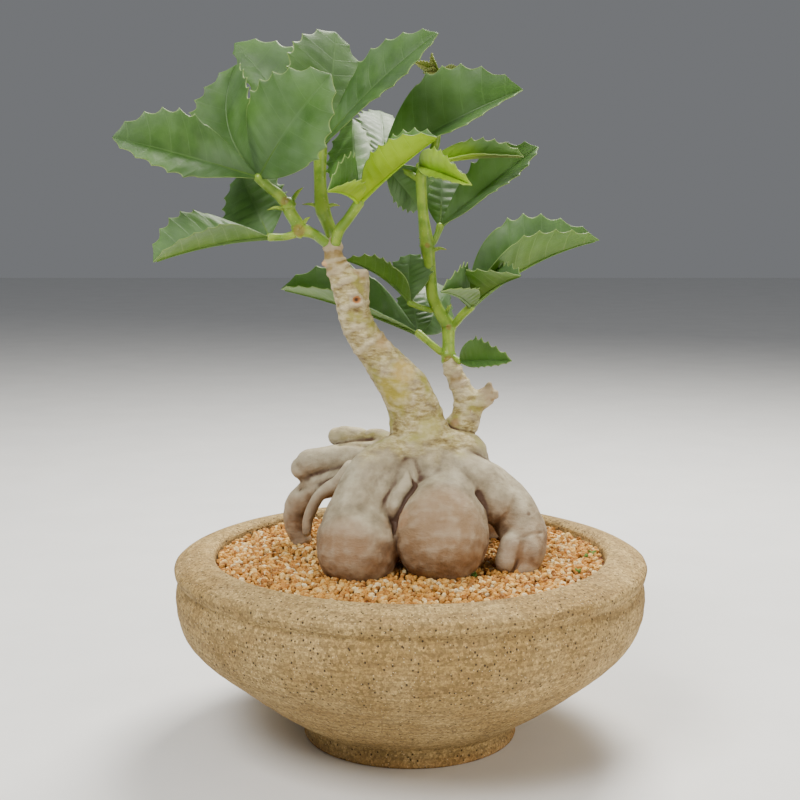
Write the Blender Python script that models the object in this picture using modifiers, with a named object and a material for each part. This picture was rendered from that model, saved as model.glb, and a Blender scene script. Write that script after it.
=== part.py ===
"""Tree grape with a swollen, lobed caudex, growing in a shallow stoneware bowl filled with grit.

Lengths in the tables are millimetres. The origin is the middle of the pot's foot, and +Z is up.
"""

import math

import bmesh
import bpy
from mathutils import Vector

MM = 0.001
GAP = 0.35
STEM_GAP = 0.45
LIMB_GAP = 0.6
WELD = 0.02
VIEW_SIDE = Vector((0.0, -1.0, 0.0))

POT_STEPS = 44
POT_OUTSIDE = (
    (91.6, 87.2),
    (95.6, 88.9),
    (103.0, 87.4),
    (109.2, 84.4),
    (110.0, 82.6),
    (109.1, 78.7),
    (107.6, 77.6),
    (109.5, 69.9),
    (108.6, 61.1),
    (105.3, 52.3),
    (98.2, 43.5),
    (87.5, 34.7),
    (76.4, 25.9),
    (64.4, 17.1),
    (51.4, 9.0),
    (50.2, 6.5),
    (50.6, 0.0),
)
POT_INSIDE = (
    (0.0, 9.0),
    (44.0, 10.0),
    (56.0, 18.0),
    (68.0, 27.0),
    (79.0, 36.0),
    (89.5, 45.0),
    (96.5, 54.0),
    (99.6, 63.0),
    (97.5, 72.0),
    (91.6, 80.0),
)
DRAIN_HOLES = 4
DRAIN_RADIUS = 6.0
DRAIN_CIRCLE = 26.0

SCREEN_RADIUS = 39.0
SCREEN_FLOOR = 10.0
SCREEN_THICKNESS = 1.0
SCREEN_HOLE = 3.4
SCREEN_PITCH = 5.0

MIX_BOTTOM = 11.4
MIX_TOP = 74.0
GRIT_BOTTOM = 74.35
GRIT_TOP = 84.5
GRIT_CROWN = 1.2
SIDE_GAP = 0.6

WOOD_VOXEL = 1.5
WOOD_TRIANGLES = 3000
WOOD_SMOOTHING = 4
HOLE_CLEARANCE = 1.5
HOLE_VOXEL = 3.0
HOLE_DETAIL = 0.6
CUT_LIMBS = ("trunk_stub", "branch_stub", "pruned_limb")
SHOOT_LIMBS = {"shoot_left": "trunk", "shoot_right": "branch"}
CUT_BULGE = 0.25

BLADE_THICKNESS = 0.7
BLADE_TIP = 0.6
BLADE_START = (0.0, 0.09, 0.19, 0.31)
LEAST_REACH = 1.0
MOST_MITRE = 1.6
TEETH = 5
TOOTH_START = 0.44
TOOTH_END = 0.985
TOOTH_OUT = 1.1
TOOTH_FORWARD = 1.3
TOOTH_VALLEY = 0.35
TOOTH_TAPER = 0.35
WIDE_HALF = 12.0
JOINT_SWELL = 1.25

LIMB_SIDES = 14
ROOT_HOLE_SIDES = 10
SHOOT_SIDES = 8
STALK_SIDES = 6
WOOD_STEP = 2.5
STEM_STEP = 5.0
LIMB_END_ROWS = 4
DOME_SHARES = (0.38, 0.7, 0.9, 0.985)
STIPULE_RADIUS = 1.0
STIPULE_TIP = 0.3
STIPULE_HOOK = 0.6

# Each row: x, y, z, radius.
WOOD_PATHS = {
    "trunk": (
        (5, 0, 136, 15.0),
        (3, -2, 150, 12.3),
        (-2, -4, 163, 11.3),
        (-10, -5, 174, 9.4),
        (-18, -6, 184, 7.8),
        (-24, -7, 194, 7.3),
        (-27, -8, 206, 7.1),
        (-29, -8, 213, 6.6),
        (-32, -8, 218, 5.4),
        (-34, -8, 223, 4.8),
        (-35, -8, 228, 3.8),
        (-35, -8, 230, 4.2),
    ),
    "trunk_stub": (
        (-26, -7, 205, 6.4),
        (-24, -6, 212, 5.6),
        (-23, -5, 218, 3.9),
    ),
    "pruned_limb": (
        (-4, -4, 164, 9.5),
        (0, -3, 173, 6.6),
    ),
    "knob": (
        (-18, -6, 186, 4.5),
        (-14, -6, 188, 2.6),
    ),
    "branch": (
        (19, 5, 134, 11.5),
        (23, 6, 143, 7.6),
        (27, 7, 152, 6.7),
        (25, 8, 161, 5.6),
        (21, 10, 169, 4.3),
        (19, 11, 174, 4.0),
    ),
    "branch_stub": (
        (28, 7, 155, 5.4),
        (33, 6, 158, 5.0),
        (37, 5, 161, 3.9),
    ),
    "crown": (
        (-2, -2, 132, 12.0),
        (9, 2, 129, 16.0),
        (24, 4, 127, 14.0),
    ),
    "lobe_pear": (
        (-3, -10, 133, 8.0),
        (-11, -18, 125, 8.5),
        (-19, -25, 114, 10.5),
        (-23, -31, 103, 18.0),
        (-24, -34, 96, 18.5),
    ),
    "lobe_round": (
        (14, -8, 128, 14.0),
        (16, -16, 117, 17.0),
        (14, -30, 105, 21.0),
        (14, -33, 101, 21.2),
    ),
    "lobe_arm": (
        (22, 0, 126, 12.0),
        (35, -6, 118, 12.0),
        (45, -12, 110, 11.6),
        (51, -18, 101, 11.0),
        (51, -25, 93, 10.0),
        (50, -29, 87, 7.5),
    ),
    "lobe_bump": (
        (44, -31, 96, 6.0),
        (44, -33, 90, 5.8),
    ),
    "lobe_narrow": (
        (-1, -14, 128, 5.5),
        (-5, -22, 121, 6.5),
        (-7, -26, 113, 6.8),
        (-5, -26, 106, 5.5),
    ),
    "lobe_finger": (
        (-9, 6, 130, 9.0),
        (-24, 14, 129, 7.5),
        (-41, 18, 126, 7.0),
        (-51, 18, 123, 6.2),
    ),
    "lobe_arch": (
        (-18, 4, 122, 8.0),
        (-31, 10, 118, 6.6),
        (-45, 16, 114, 6.6),
        (-54, 20, 104, 6.2),
        (-55, 20, 95, 5.8),
        (-53, 20, 88, 5.4),
    ),
    "lobe_upper_a": (
        (-16, 16, 133, 4.8),
        (-27, 24, 136, 5.2),
        (-35, 26, 137, 4.7),
    ),
    "lobe_upper_b": (
        (-9, 10, 136, 5.0),
        (-15, 16, 139, 3.7),
        (-19, 18, 139, 3.2),
    ),
    "lobe_back_right": (
        (21, 14, 127, 13.0),
        (32, 30, 112, 13.0),
        (36, 40, 92, 14.0),
    ),
    "lobe_back_left": (
        (0, 14, 127, 12.0),
        (-9, 32, 111, 12.0),
        (-13, 44, 92, 13.0),
    ),
}

ROOTS = {
    "root_left": ((-22.0, -33.0, 84.0, 4.5), (-21.0, -31.0, 66.0, 3.2), (-21.0, -30.0, 44.0, 1.6)),
    "root_middle": ((14.0, -31.0, 84.0, 5.0), (14.0, -30.0, 64.0, 3.6), (14.0, -30.0, 38.0, 1.8)),
    "root_back": ((29.0, 38.0, 96.0, 6.0), (30.0, 39.0, 66.0, 3.6), (30.0, 39.0, 42.0, 1.8)),
}

# Each row: x, y, z, radius.
SHOOT_PATHS = {
    "shoot_left": (
        (-35, -8, 230, 2.2),
        (-39, -9, 232, 2.3),
        (-43, -9, 235, 2.3),
        (-48, -10, 237, 2.5),
        (-50, -10, 237, 3.3),
        (-51, -10, 240, 3.0),
        (-54, -11, 245, 2.8),
        (-55, -12, 249, 3.3),
        (-56, -12, 250, 2.2),
    ),
    "shoot_right": (
        (19, 11, 173, 2.6),
        (18, 12, 177, 3.4),
        (18, 13, 183, 2.9),
        (18, 14, 189, 3.1),
        (18, 15, 192, 3.5),
        (14, 15, 198, 2.8),
        (11, 16, 204, 2.8),
        (10, 16, 209, 2.8),
        (9, 17, 222, 2.8),
        (8, 18, 229, 3.4),
        (6, 17, 244, 2.5),
        (5, 16, 260, 2.5),
        (6, 17, 265, 2.3),
        (10, 20, 272, 2.1),
        (12, 21, 278, 2.0),
        (13, 23, 292, 1.8),
        (14, 25, 306, 1.7),
        (14, 25, 310, 1.5),
    ),
}

# Stipules: the node they stand on, then x, y, z of the root and of the tip.
STIPULES = {
    "shoot_left": (
        ((-53.0, -12.0, 250.0), (-48.0, -12.0, 256.0)),
        ((-57.0, -12.0, 246.5), (-64.0, -12.0, 246.0)),
        ((-49.0, -10.0, 238.5), (-45.0, -11.0, 243.0)),
    ),
    "shoot_right": (
        ((16.6, 15.0, 196.5), (19.4, 14.5, 202.0)),
        ((7.4, 17.0, 229.5), (4.0, 16.5, 233.0)),
        ((10.4, 17.0, 227.0), (17.0, 15.0, 227.5)),
        ((14.2, 25.0, 308.0), (6.0, 24.0, 311.5)),
        ((14.0, 25.0, 307.5), (10.5, 22.0, 313.5)),
        ((14.4, 25.0, 307.0), (20.5, 26.0, 309.5)),
    ),
    "leaf_centre": (
        ((-41.0, -3.0, 247.0), (-49.0, -4.0, 248.5)),
        ((-38.5, -3.5, 247.0), (-32.0, -5.0, 248.0)),
    ),
}

# A stalk has rows of x, y, z, radius. A leaflet has its tip, the widths of its right and left
# halves, their turns about the midrib in degrees, the midrib's arch and sideways sway, and a
# form, which above 1 puts the widest part nearer the tip.
LEAVES = {
    "leaf_left": {
        "stalk": (
            (-56, -12, 249, 2.4),
            (-59, -13, 253, 2.5),
            (-63, -15, 256, 2.3),
            (-67, -17, 260, 2.4),
        ),
        "leaflets": (
            {"tip": (-128, -34, 277), "widths": (18.5, 13),
             "turns": (-18, 125), "arch": 1, "form": 1.3},
            {"tip": (-79, 6, 311), "widths": (19, 15.5),
             "turns": (48, 166), "arch": 2, "sway": -8, "form": 1.0},
            {"tip": (-34, -38, 303), "widths": (20, 22),
             "turns": (30, 192), "arch": 4, "form": 1.1},
        ),
    },
    "leaf_low_left": {
        "stalk": (
            (-50, -10, 236, 1.5),
            (-53, -11, 235, 1.7),
            (-57, -12, 234, 1.6),
            (-63, -14, 234, 1.8),
        ),
        "leaflets": (
            {"tip": (-111, -38, 224), "widths": (20, 20),
             "turns": (68, -38), "arch": 2, "form": 1.3},
            {"tip": (-78, 8, 263), "widths": (15, 17),
             "turns": (-20, 200), "arch": 2, "form": 1.2},
            {"tip": (-88, 34, 244), "widths": (13, 13),
             "turns": (-20, 160), "arch": 3, "form": 1.3},
        ),
    },
    "leaf_centre": {
        "stalk": (
            (-35, -6, 231, 2.7),
            (-36, -4, 236, 2.9),
            (-38, -3, 241, 3.0),
            (-40, -3, 247, 3.4),
            (-41, -1, 259, 2.8),
            (-41, 2, 274, 3.2),
        ),
        "leaflets": (
            {"tip": (-82, 28, 323), "widths": (20, 8),
             "turns": (-20, 172), "arch": 3, "form": 1.35},
            {"tip": (-35, 28, 328), "widths": (18, 23),
             "turns": (-34, 146), "arch": 2, "form": 1.3},
            {"tip": (12, -12, 323), "widths": (11, 18.5),
             "turns": (62, 226), "arch": 3, "form": 1.35},
        ),
    },
    "leaf_lit": {
        "stalk": (
            (-34, -10, 231, 2.4),
            (-32, -13, 237, 2.5),
            (-28, -16, 242, 2.3),
            (-23, -20, 249, 2.4),
        ),
        "leaflets": (
            {"tip": (-35, -56, 254), "widths": (16, 9),
             "turns": (-12, 38), "arch": 2, "form": 1.15},
            {"tip": (11, -34, 277), "widths": (19, 15),
             "turns": (128, 222), "arch": 1, "form": 1.35},
            {"tip": (-27, 24, 288), "widths": (8, 15),
             "turns": (-15, 208), "arch": 2, "form": 1.2},
        ),
    },
    "leaf_upper_right": {
        "stalk": (
            (5, 16, 259, 1.4),
            (1, 19, 262, 1.6),
            (-4, 20, 265, 1.6),
            (-8, 19, 267, 1.6),
            (-13, 18, 267, 2.0),
        ),
        "leaflets": (
            {"tip": (51, 6, 300), "widths": (14, 24),
             "turns": (76, 188), "arch": 3, "form": 1.1},
            {"tip": (4, 31, 246), "widths": (8, 13),
             "turns": (30, 180), "arch": 3, "form": 1.2},
            {"tip": (-15, 62, 294), "widths": (14, 12),
             "turns": (-20, 160), "arch": 3, "form": 1.3},
        ),
    },
    "leaf_top": {
        "stalk": (
            (6, 16, 262, 1.4),
            (5, 12, 265, 1.5),
            (4, 9, 266, 1.6),
        ),
        "leaflets": (
            {"tip": (27, -16, 257), "widths": (7, 13),
             "turns": (62, 128), "arch": 3, "form": 1.0},
            {"tip": (52, 8, 270), "widths": (8, 9),
             "turns": (96, 150), "arch": 3, "form": 1.2},
        ),
    },
    "leaf_right": {
        "stalk": (
            (9, 18, 229, 1.6),
            (11, 19, 231, 1.6),
            (13, 20, 235, 1.5),
            (14, 21, 238, 1.9),
        ),
        "leaflets": (
            {"tip": (60, 22, 275), "widths": (12, 13),
             "turns": (70, 196), "arch": 1, "form": 1.3},
            {"tip": (16, 50, 272), "widths": (14, 9),
             "turns": (-25, 200), "arch": 2, "form": 1.1},
        ),
    },
    "leaf_low_right": {
        "stalk": (
            (18, 15, 191, 1.8),
            (21, 13, 193, 1.9),
            (24, 10, 197, 1.9),
            (28, 8, 201, 2.0),
        ),
        "leaflets": (
            {"tip": (13, -34, 211), "widths": (14, 9),
             "turns": (-18, 38), "arch": 2, "form": 1.0},
            {"tip": (49, -18, 217), "widths": (19, 12),
             "turns": (140, 238), "arch": 2, "form": 0.85},
            {"tip": (88, 14, 232), "widths": (20, 23),
             "turns": (130, 192), "arch": 5, "form": 0.9},
        ),
    },
    "leaf_single": {
        "stalk": (
            (18, 12, 179, 1.3),
            (21, 9, 177, 1.3),
            (23, 6, 176, 1.5),
        ),
        "leaflets": (
            {"tip": (46, -10, 178), "widths": (5, 12),
             "turns": (60, 150), "arch": 2, "form": 1.0},
        ),
    },
    "leaf_inner_left": {
        "stalk": (
            (17, 13, 179, 1.7),
            (14, 13, 180, 1.8),
            (9, 14, 184, 1.7),
            (4, 16, 188, 2.0),
        ),
        "leaflets": (
            {"tip": (-62, 32, 208), "widths": (20, 18),
             "turns": (-25, 72), "arch": 2, "form": 1.3},
            {"tip": (0, 34, 209), "widths": (10, 11),
             "turns": (-25, 200), "arch": 2, "form": 1.0},
            {"tip": (19, 60, 207), "widths": (12, 14),
             "turns": (-30, 190), "arch": 3, "form": 1.1},
        ),
    },
    "leaf_inner_small": {
        "stalk": (
            (10, 16, 199, 1.2),
            (7, 14, 200, 1.4),
            (4, 12, 201, 1.3),
            (0, 11, 203, 1.6),
        ),
        "leaflets": (
            {"tip": (-30, 10, 223), "widths": (15, 8),
             "turns": (58, -35), "arch": 3, "form": 0.95},
            {"tip": (0, 24, 225), "widths": (11, 10),
             "turns": (15, 195), "arch": 2, "form": 1.3},
        ),
    },
}


def clear_scene():
    for obj in list(bpy.data.objects):
        bpy.data.objects.remove(obj, do_unlink=True)


def new_collection(name, hidden=False):
    collection = bpy.data.collections.new(name)
    bpy.context.scene.collection.children.link(collection)
    collection.hide_render = hidden
    return collection


def new_material(name, colour, roughness):
    material = bpy.data.materials.new(name)
    material.use_nodes = True
    shader = material.node_tree.nodes["Principled BSDF"]
    shader.inputs["Base Color"].default_value = (*colour, 1.0)
    shader.inputs["Roughness"].default_value = roughness
    return material


def place(obj, collection, material=None):
    collection.objects.link(obj)
    if material:
        obj.data.materials.clear()
        obj.data.materials.append(material)
    return obj


def remove_objects(objects):
    for obj in list(objects):
        bpy.data.objects.remove(obj, do_unlink=True)


def evaluated_mesh(obj):
    bpy.context.view_layer.update()
    graph = bpy.context.evaluated_depsgraph_get()
    return bpy.data.meshes.new_from_object(obj.evaluated_get(graph))


def outward(mesh):
    """The mesh with all of its faces turned outwards."""
    work = bmesh.new()
    work.from_mesh(mesh)
    bmesh.ops.recalc_face_normals(work, faces=work.faces)
    if work.calc_volume(signed=True) < 0:
        bmesh.ops.reverse_faces(work, faces=work.faces)
    work.to_mesh(mesh)
    work.free()
    return mesh


def welded(mesh):
    """Merge the points where a curve's caps meet its sides."""
    work = bmesh.new()
    work.from_mesh(mesh)
    bmesh.ops.remove_doubles(work, verts=work.verts, dist=WELD * MM)
    work.to_mesh(mesh)
    work.free()
    return outward(mesh)


def smooth_path(rows, step):
    """Catmull-Rom points along the rows, about one step apart."""
    points = [Vector(row) for row in rows]
    points = [points[0] * 2 - points[1]] + points + [points[-1] * 2 - points[-2]]
    path = []
    for i in range(1, len(points) - 2):
        before, here, there, after = points[i - 1 : i + 3]
        count = max(1, round((there - here).to_3d().length / step))
        for k in range(count):
            t = k / count
            path.append(
                0.5
                * (
                    2 * here
                    + (there - before) * t
                    + (2 * before - 5 * here + 4 * there - after) * t**2
                    + (3 * here - before - 3 * there + after) * t**3
                )
            )
    path.append(points[-2])
    return path


def dome(end, before, bulge):
    """Rows that close a limb with a dome beyond its end."""
    out = (end.to_3d() - before.to_3d()).normalized()
    rows = []
    for share in DOME_SHARES:
        centre = end.to_3d() + out * (end[3] * share * bulge)
        rows.append(Vector((*centre, end[3] * math.sqrt(1 - share**2))))
    return rows


def domed(path, swell, bulge=1.0):
    """The path with its radius swollen and a dome at each end."""
    rows = [Vector((row[0], row[1], row[2], row[3] + swell)) for row in path]
    start = dome(rows[0], rows[1], bulge)
    return list(reversed(start)) + rows + dome(rows[-1], rows[-2], bulge)


def lengthened(path, swell):
    """The path swollen by the same amount round about and at its ends."""
    rows = [Vector((row[0], row[1], row[2], row[3] + swell)) for row in path]
    for end, before in ((0, 1), (-1, -2)):
        out = (path[end] - path[before]).to_3d().normalized()
        for axis in range(3):
            rows[end][axis] += out[axis] * swell
    return rows


def tube(name, path, collection, sides):
    curve = bpy.data.curves.new(name, "CURVE")
    curve.dimensions = "3D"
    curve.bevel_depth = MM
    curve.bevel_resolution = sides // 2 - 2
    curve.use_fill_caps = True
    spline = curve.splines.new("POLY")
    spline.points.add(len(path) - 1)
    for point, row in zip(spline.points, path):
        point.co = (row[0] * MM, row[1] * MM, row[2] * MM, 1.0)
        point.radius = row[3]
    guide = place(bpy.data.objects.new(name + "_guide", curve), collection)
    mesh = welded(evaluated_mesh(guide))
    bpy.data.objects.remove(guide, do_unlink=True)
    return place(bpy.data.objects.new(name, mesh), collection)


def spike(name, root, tip, radius, collection):
    """A tapered, slightly hooked stipule."""
    root, tip = Vector(root), Vector(tip)
    middle = root.lerp(tip, 0.5) + Vector((0.0, 0.0, STIPULE_HOOK))
    path = [(*root, radius), (*middle, 0.7 * radius), (*tip, STIPULE_TIP)]
    return tube(name, [Vector(row) for row in path], collection, STALK_SIDES)


def fused(name, first, others, collection):
    """One mesh from overlapping solids, by a single union on their collection."""
    join = first.modifiers.new("union", "BOOLEAN")
    join.operation = "UNION"
    join.operand_type = "COLLECTION"
    join.collection = others
    join.solver = "EXACT"
    mesh = outward(evaluated_mesh(first))
    remove_objects([first, *others.objects])
    bpy.data.collections.remove(others)
    return place(bpy.data.objects.new(name, mesh), collection)


def cut(target, cutter):
    """Cut the target by the cutter, apply the cut, and remove the cutter."""
    trim = target.modifiers.new("cut", "BOOLEAN")
    trim.operation = "DIFFERENCE"
    trim.object = cutter
    trim.solver = "EXACT"
    mesh = outward(evaluated_mesh(target))
    target.modifiers.clear()
    target.data = mesh
    bpy.data.objects.remove(cutter, do_unlink=True)


def revolved(name, profile, collection, material):
    mesh = bpy.data.meshes.new(name + "_profile")
    points = [(x * MM, 0.0, z * MM) for x, z in profile]
    mesh.from_pydata(points, [(i, i + 1) for i in range(len(points) - 1)], [])
    obj = place(bpy.data.objects.new(name, mesh), collection)
    screw = obj.modifiers.new("turned", "SCREW")
    screw.axis = "Z"
    screw.angle = math.tau
    screw.screw_offset = 0.0
    screw.steps = POT_STEPS
    screw.render_steps = POT_STEPS
    screw.use_merge_vertices = True
    screw.merge_threshold = 0.00005
    solid = evaluated_mesh(obj)
    bpy.data.objects.remove(obj, do_unlink=True)
    return place(bpy.data.objects.new(name, solid), collection, material)


def moved(obj, name, collection):
    """The object that was just added, in the collection that it belongs to."""
    obj.name = name
    for owner in list(obj.users_collection):
        owner.objects.unlink(obj)
    return place(obj, collection)


def cylinder(name, radius, bottom, top, centre, collection):
    bpy.ops.mesh.primitive_cylinder_add(
        vertices=24,
        radius=radius * MM,
        depth=(top - bottom) * MM,
        location=(centre[0] * MM, centre[1] * MM, 0.5 * (top + bottom) * MM),
    )
    return moved(bpy.context.object, name, collection)


def cube(size, centre, collection):
    bpy.ops.mesh.primitive_cube_add(size=size * MM, location=[value * MM for value in centre])
    return moved(bpy.context.object, "cube", collection)


def half_width(t, form):
    return math.sin(math.pi * t**form) ** 0.75


def leaflet_rows(form):
    """(position, width share, tooth share, forward share) of each row across the blade."""
    rows = [(t, half_width(t, form), 0.0, 0.0) for t in BLADE_START]
    span = (TOOTH_END - TOOTH_START) / TEETH
    for k in range(TEETH):
        valley = TOOTH_START + k * span
        point = valley + 0.5 * span
        size = 1.0 - TOOTH_TAPER * k / TEETH
        rows.append((valley, half_width(valley, form), -TOOTH_VALLEY * size, 0.0))
        rows.append((point, half_width(point, form), size, size))
    return rows


def leaflet_frame(base, tip):
    along = tip - base
    length = along.length
    along = along / length
    toward = (VIEW_SIDE - along * VIEW_SIDE.dot(along)).normalized()
    return along, length, along.cross(toward), toward


def leaflet_sections(base, row):
    """Points across the blade, row by row: left edge, midrib and right edge, on each face."""
    along, length, side, toward = leaflet_frame(base, Vector(row["tip"]))

    def turned(angle):
        return side * math.cos(angle) + toward * math.sin(angle)

    right, left = (math.radians(angle) for angle in row["turns"])
    upward = turned(0.5 * (right + left))
    mitre = min(MOST_MITRE, 1 / max(0.1, abs(math.sin(0.5 * (right - left)))))
    half = 0.5 * BLADE_THICKNESS

    def spine(t):
        shift = upward * row["arch"] + side * row.get("sway", 0)
        return base + along * (length * t) + shift * (4 * t * (1 - t))

    def edge(width, angle, middle, share, tooth, forward):
        out = turned(angle)
        normal = along.cross(out).normalized()
        if normal.dot(upward) < 0:
            normal = -normal
        scale = min(1.0, width / WIDE_HALF)
        reach = max(LEAST_REACH, width * share + TOOTH_OUT * tooth * scale)
        return middle + out * reach + along * (TOOTH_FORWARD * forward * scale), normal * half

    sections = []
    for t, *shape in leaflet_rows(row["form"]):
        middle = spine(t)
        right_edge, right_normal = edge(row["widths"][0], right, middle, *shape)
        left_edge, left_normal = edge(row["widths"][1], left, middle, *shape)
        for sign in (1, -1):
            sections.append(left_edge + left_normal * sign)
            sections.append(middle + upward * half * mitre * sign)
            sections.append(right_edge + right_normal * sign)
    end = spine(1.0) + along * BLADE_TIP
    return sections, [end + upward * half, end - upward * half]


def leaflet(name, base, row, collection):
    """A toothed blade in two halves that meet at the midrib."""
    sections, end = leaflet_sections(base, row)
    points = sections + end
    upper_tip, lower_tip = len(sections), len(sections) + 1
    faces = [(0, 3, 4, 1), (1, 4, 5, 2)]
    for a in range(0, len(sections) - 6, 6):
        b = a + 6
        for k in (0, 1):
            faces.append((a + k, a + k + 1, b + k + 1))
            faces.append((a + k, b + k + 1, b + k))
            faces.append((a + 3 + k, b + 3 + k + 1, a + 3 + k + 1))
            faces.append((a + 3 + k, b + 3 + k, b + 3 + k + 1))
        faces.append((a, b, b + 3, a + 3))
        faces.append((a + 2, a + 5, b + 5, b + 2))
    a = len(sections) - 6
    for k in (0, 1):
        faces.append((a + k, a + k + 1, upper_tip))
        faces.append((a + 3 + k, lower_tip, a + 3 + k + 1))
    faces.append((a, upper_tip, lower_tip, a + 3))
    faces.append((a + 2, a + 5, lower_tip, upper_tip))
    mesh = bpy.data.meshes.new(name)
    mesh.from_pydata([p * MM for p in points], [], faces)
    mesh.validate()
    return place(bpy.data.objects.new(name, welded(mesh)), collection)


def drain_centres():
    turns = [math.tau * (k + 0.5) / DRAIN_HOLES for k in range(DRAIN_HOLES)]
    return [(DRAIN_CIRCLE * math.cos(turn), DRAIN_CIRCLE * math.sin(turn)) for turn in turns]


def build_pot(collection, helpers, material):
    pot = revolved("pot", [*POT_INSIDE, *POT_OUTSIDE, (0.0, 0.0)], collection, material)
    for centre in drain_centres():
        cut(pot, cylinder("drain", DRAIN_RADIUS, -5.0, MIX_BOTTOM, centre, helpers))
    return pot


def build_screen(collection, helpers, material):
    bottom = SCREEN_FLOOR + GAP
    top = bottom + SCREEN_THICKNESS
    middle = 0.5 * (bottom + top)
    screen = cylinder("drainage_screen", SCREEN_RADIUS, bottom, top, (0.0, 0.0), collection)
    screen.data.materials.append(material)
    for x, y in drain_centres():
        for i in (-0.5, 0.5):
            for j in (-0.5, 0.5):
                hole = cube(SCREEN_HOLE, (x + i * SCREEN_PITCH, y + j * SCREEN_PITCH, middle), helpers)
                cut(screen, hole)
    return screen


def inner_radius(height):
    """Inside radius of the pot at a height."""
    wall = list(POT_INSIDE[1:]) + [POT_OUTSIDE[0]]
    for (r0, z0), (r1, z1) in zip(wall, wall[1:]):
        if z0 <= height <= z1:
            return r0 + (r1 - r0) * (height - z0) / (z1 - z0)
    return wall[0][0]


def fill_profile(bottom, top, crown):
    levels = [bottom] + [z for r, z in POT_INSIDE if bottom + 1 < z < top - 1] + [top]
    wall = [(inner_radius(z) - SIDE_GAP, z) for z in levels]
    if bottom < POT_INSIDE[2][1]:
        wall[0] = (POT_INSIDE[1][0], bottom)
    return [(0.0, top + crown)] + list(reversed(wall)) + [(0.0, bottom)]


def wood_body(name, collection):
    """The caudex, trunk, branch and roots as one skin over overlapping limbs."""
    limbs = new_collection(name + "_limbs")
    for key, rows in {**WOOD_PATHS, **ROOTS}.items():
        bulge = CUT_BULGE if key in CUT_LIMBS else 1.0
        tube(key, domed(smooth_path(rows, WOOD_STEP), 0.0, bulge), limbs, LIMB_SIDES)
    joined = list(limbs.objects)
    mesh = bpy.data.meshes.new(name)
    vertices = []
    faces = []
    for limb in joined:
        start = len(vertices)
        vertices += [v.co.copy() for v in limb.data.vertices]
        faces += [[start + i for i in polygon.vertices] for polygon in limb.data.polygons]
    mesh.from_pydata(vertices, [], faces)
    remove_objects(joined)
    bpy.data.collections.remove(limbs)
    body = place(bpy.data.objects.new(name, mesh), collection)
    skin = body.modifiers.new("skin", "REMESH")
    skin.mode = "VOXEL"
    skin.voxel_size = WOOD_VOXEL * MM
    ease = body.modifiers.new("ease", "SMOOTH")
    ease.factor = 0.5
    ease.iterations = WOOD_SMOOTHING
    count = sum(len(p.vertices) - 2 for p in evaluated_mesh(body).polygons)
    thin = body.modifiers.new("thin", "DECIMATE")
    thin.ratio = WOOD_TRIANGLES / count
    mesh = evaluated_mesh(body)
    body.modifiers.clear()
    body.data = mesh
    return body


def seat_cutter(body, collection):
    """A copy of the wood, swollen by the clearance, for the hole that it sits in."""
    seat = place(bpy.data.objects.new("seat", body.data.copy()), collection)
    swell = seat.modifiers.new("swell", "DISPLACE")
    swell.strength = HOLE_CLEARANCE * MM
    swell.mid_level = 0.0
    skin = seat.modifiers.new("skin", "REMESH")
    skin.mode = "VOXEL"
    skin.voxel_size = HOLE_VOXEL * MM
    thin = seat.modifiers.new("thin", "DECIMATE")
    thin.ratio = HOLE_DETAIL
    mesh = evaluated_mesh(seat)
    seat.modifiers.clear()
    seat.data = mesh
    return seat


def build_shoot(name, swell, collection, material=None):
    path = lengthened(smooth_path(SHOOT_PATHS[name], STEM_STEP), swell)
    stem = tube(name, path, collection, SHOOT_SIDES)
    if swell or name not in STIPULES:
        return stem
    spikes = new_collection(name + "_spikes")
    for k, (root, tip) in enumerate(STIPULES[name]):
        spike(f"{name}_spike_{k}", root, tip, STIPULE_RADIUS, spikes)
    stem = fused(name, stem, spikes, collection)
    stem.data.materials.append(material)
    return stem


def build_leaf(name, collection, material):
    leaf = LEAVES[name]
    stalk = tube(name, smooth_path(leaf["stalk"], STEM_STEP), collection, STALK_SIDES)
    base = Vector(leaf["stalk"][-1][:3])
    parts = new_collection(name + "_parts")
    bpy.ops.mesh.primitive_ico_sphere_add(
        subdivisions=1,
        radius=leaf["stalk"][-1][3] * JOINT_SWELL * MM,
        location=base * MM,
    )
    moved(bpy.context.object, name + "_joint", parts)
    for k, row in enumerate(leaf["leaflets"]):
        leaflet(f"{name}_{k}", base, row, parts)
    for k, (root, tip) in enumerate(STIPULES.get(name, ())):
        spike(f"{name}_spike_{k}", root, tip, STIPULE_RADIUS, parts)
    leaf_object = fused(name, stalk, parts, collection)
    leaf_object.data.materials.clear()
    leaf_object.data.materials.append(material)
    return leaf_object


def limb_cutter(limb, collection):
    """The end of a limb, swollen by the gap to what grows on it."""
    rows = smooth_path(WOOD_PATHS[limb][-LIMB_END_ROWS:], WOOD_STEP)
    return tube("limb", domed(rows, LIMB_GAP), collection, LIMB_SIDES)


clear_scene()
plant = new_collection("potted_tree_grape")
helpers = new_collection("cutters", hidden=True)

stoneware = new_material("stoneware", (0.50, 0.38, 0.25), 0.8)
screen_plastic = new_material("screen_plastic", (0.05, 0.06, 0.05), 0.6)
soil = new_material("soil", (0.10, 0.07, 0.05), 0.95)
gravel = new_material("gravel", (0.62, 0.36, 0.20), 0.85)
bark = new_material("bark", (0.36, 0.28, 0.22), 0.75)
green_stem = new_material("green_stem", (0.25, 0.40, 0.06), 0.5)
foliage = new_material("foliage", (0.06, 0.20, 0.05), 0.45)

build_pot(plant, helpers, stoneware)
build_screen(plant, helpers, screen_plastic)

wood = wood_body("caudex_and_trunk", plant)
wood.data.materials.append(bark)

mix = revolved("potting_mix", fill_profile(MIX_BOTTOM + GAP, MIX_TOP, 0.0), plant, soil)
for key, rows in ROOTS.items():
    path = domed([Vector(row) for row in rows], HOLE_CLEARANCE)
    cut(mix, tube(key + "_hole", path, helpers, ROOT_HOLE_SIDES))

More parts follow.
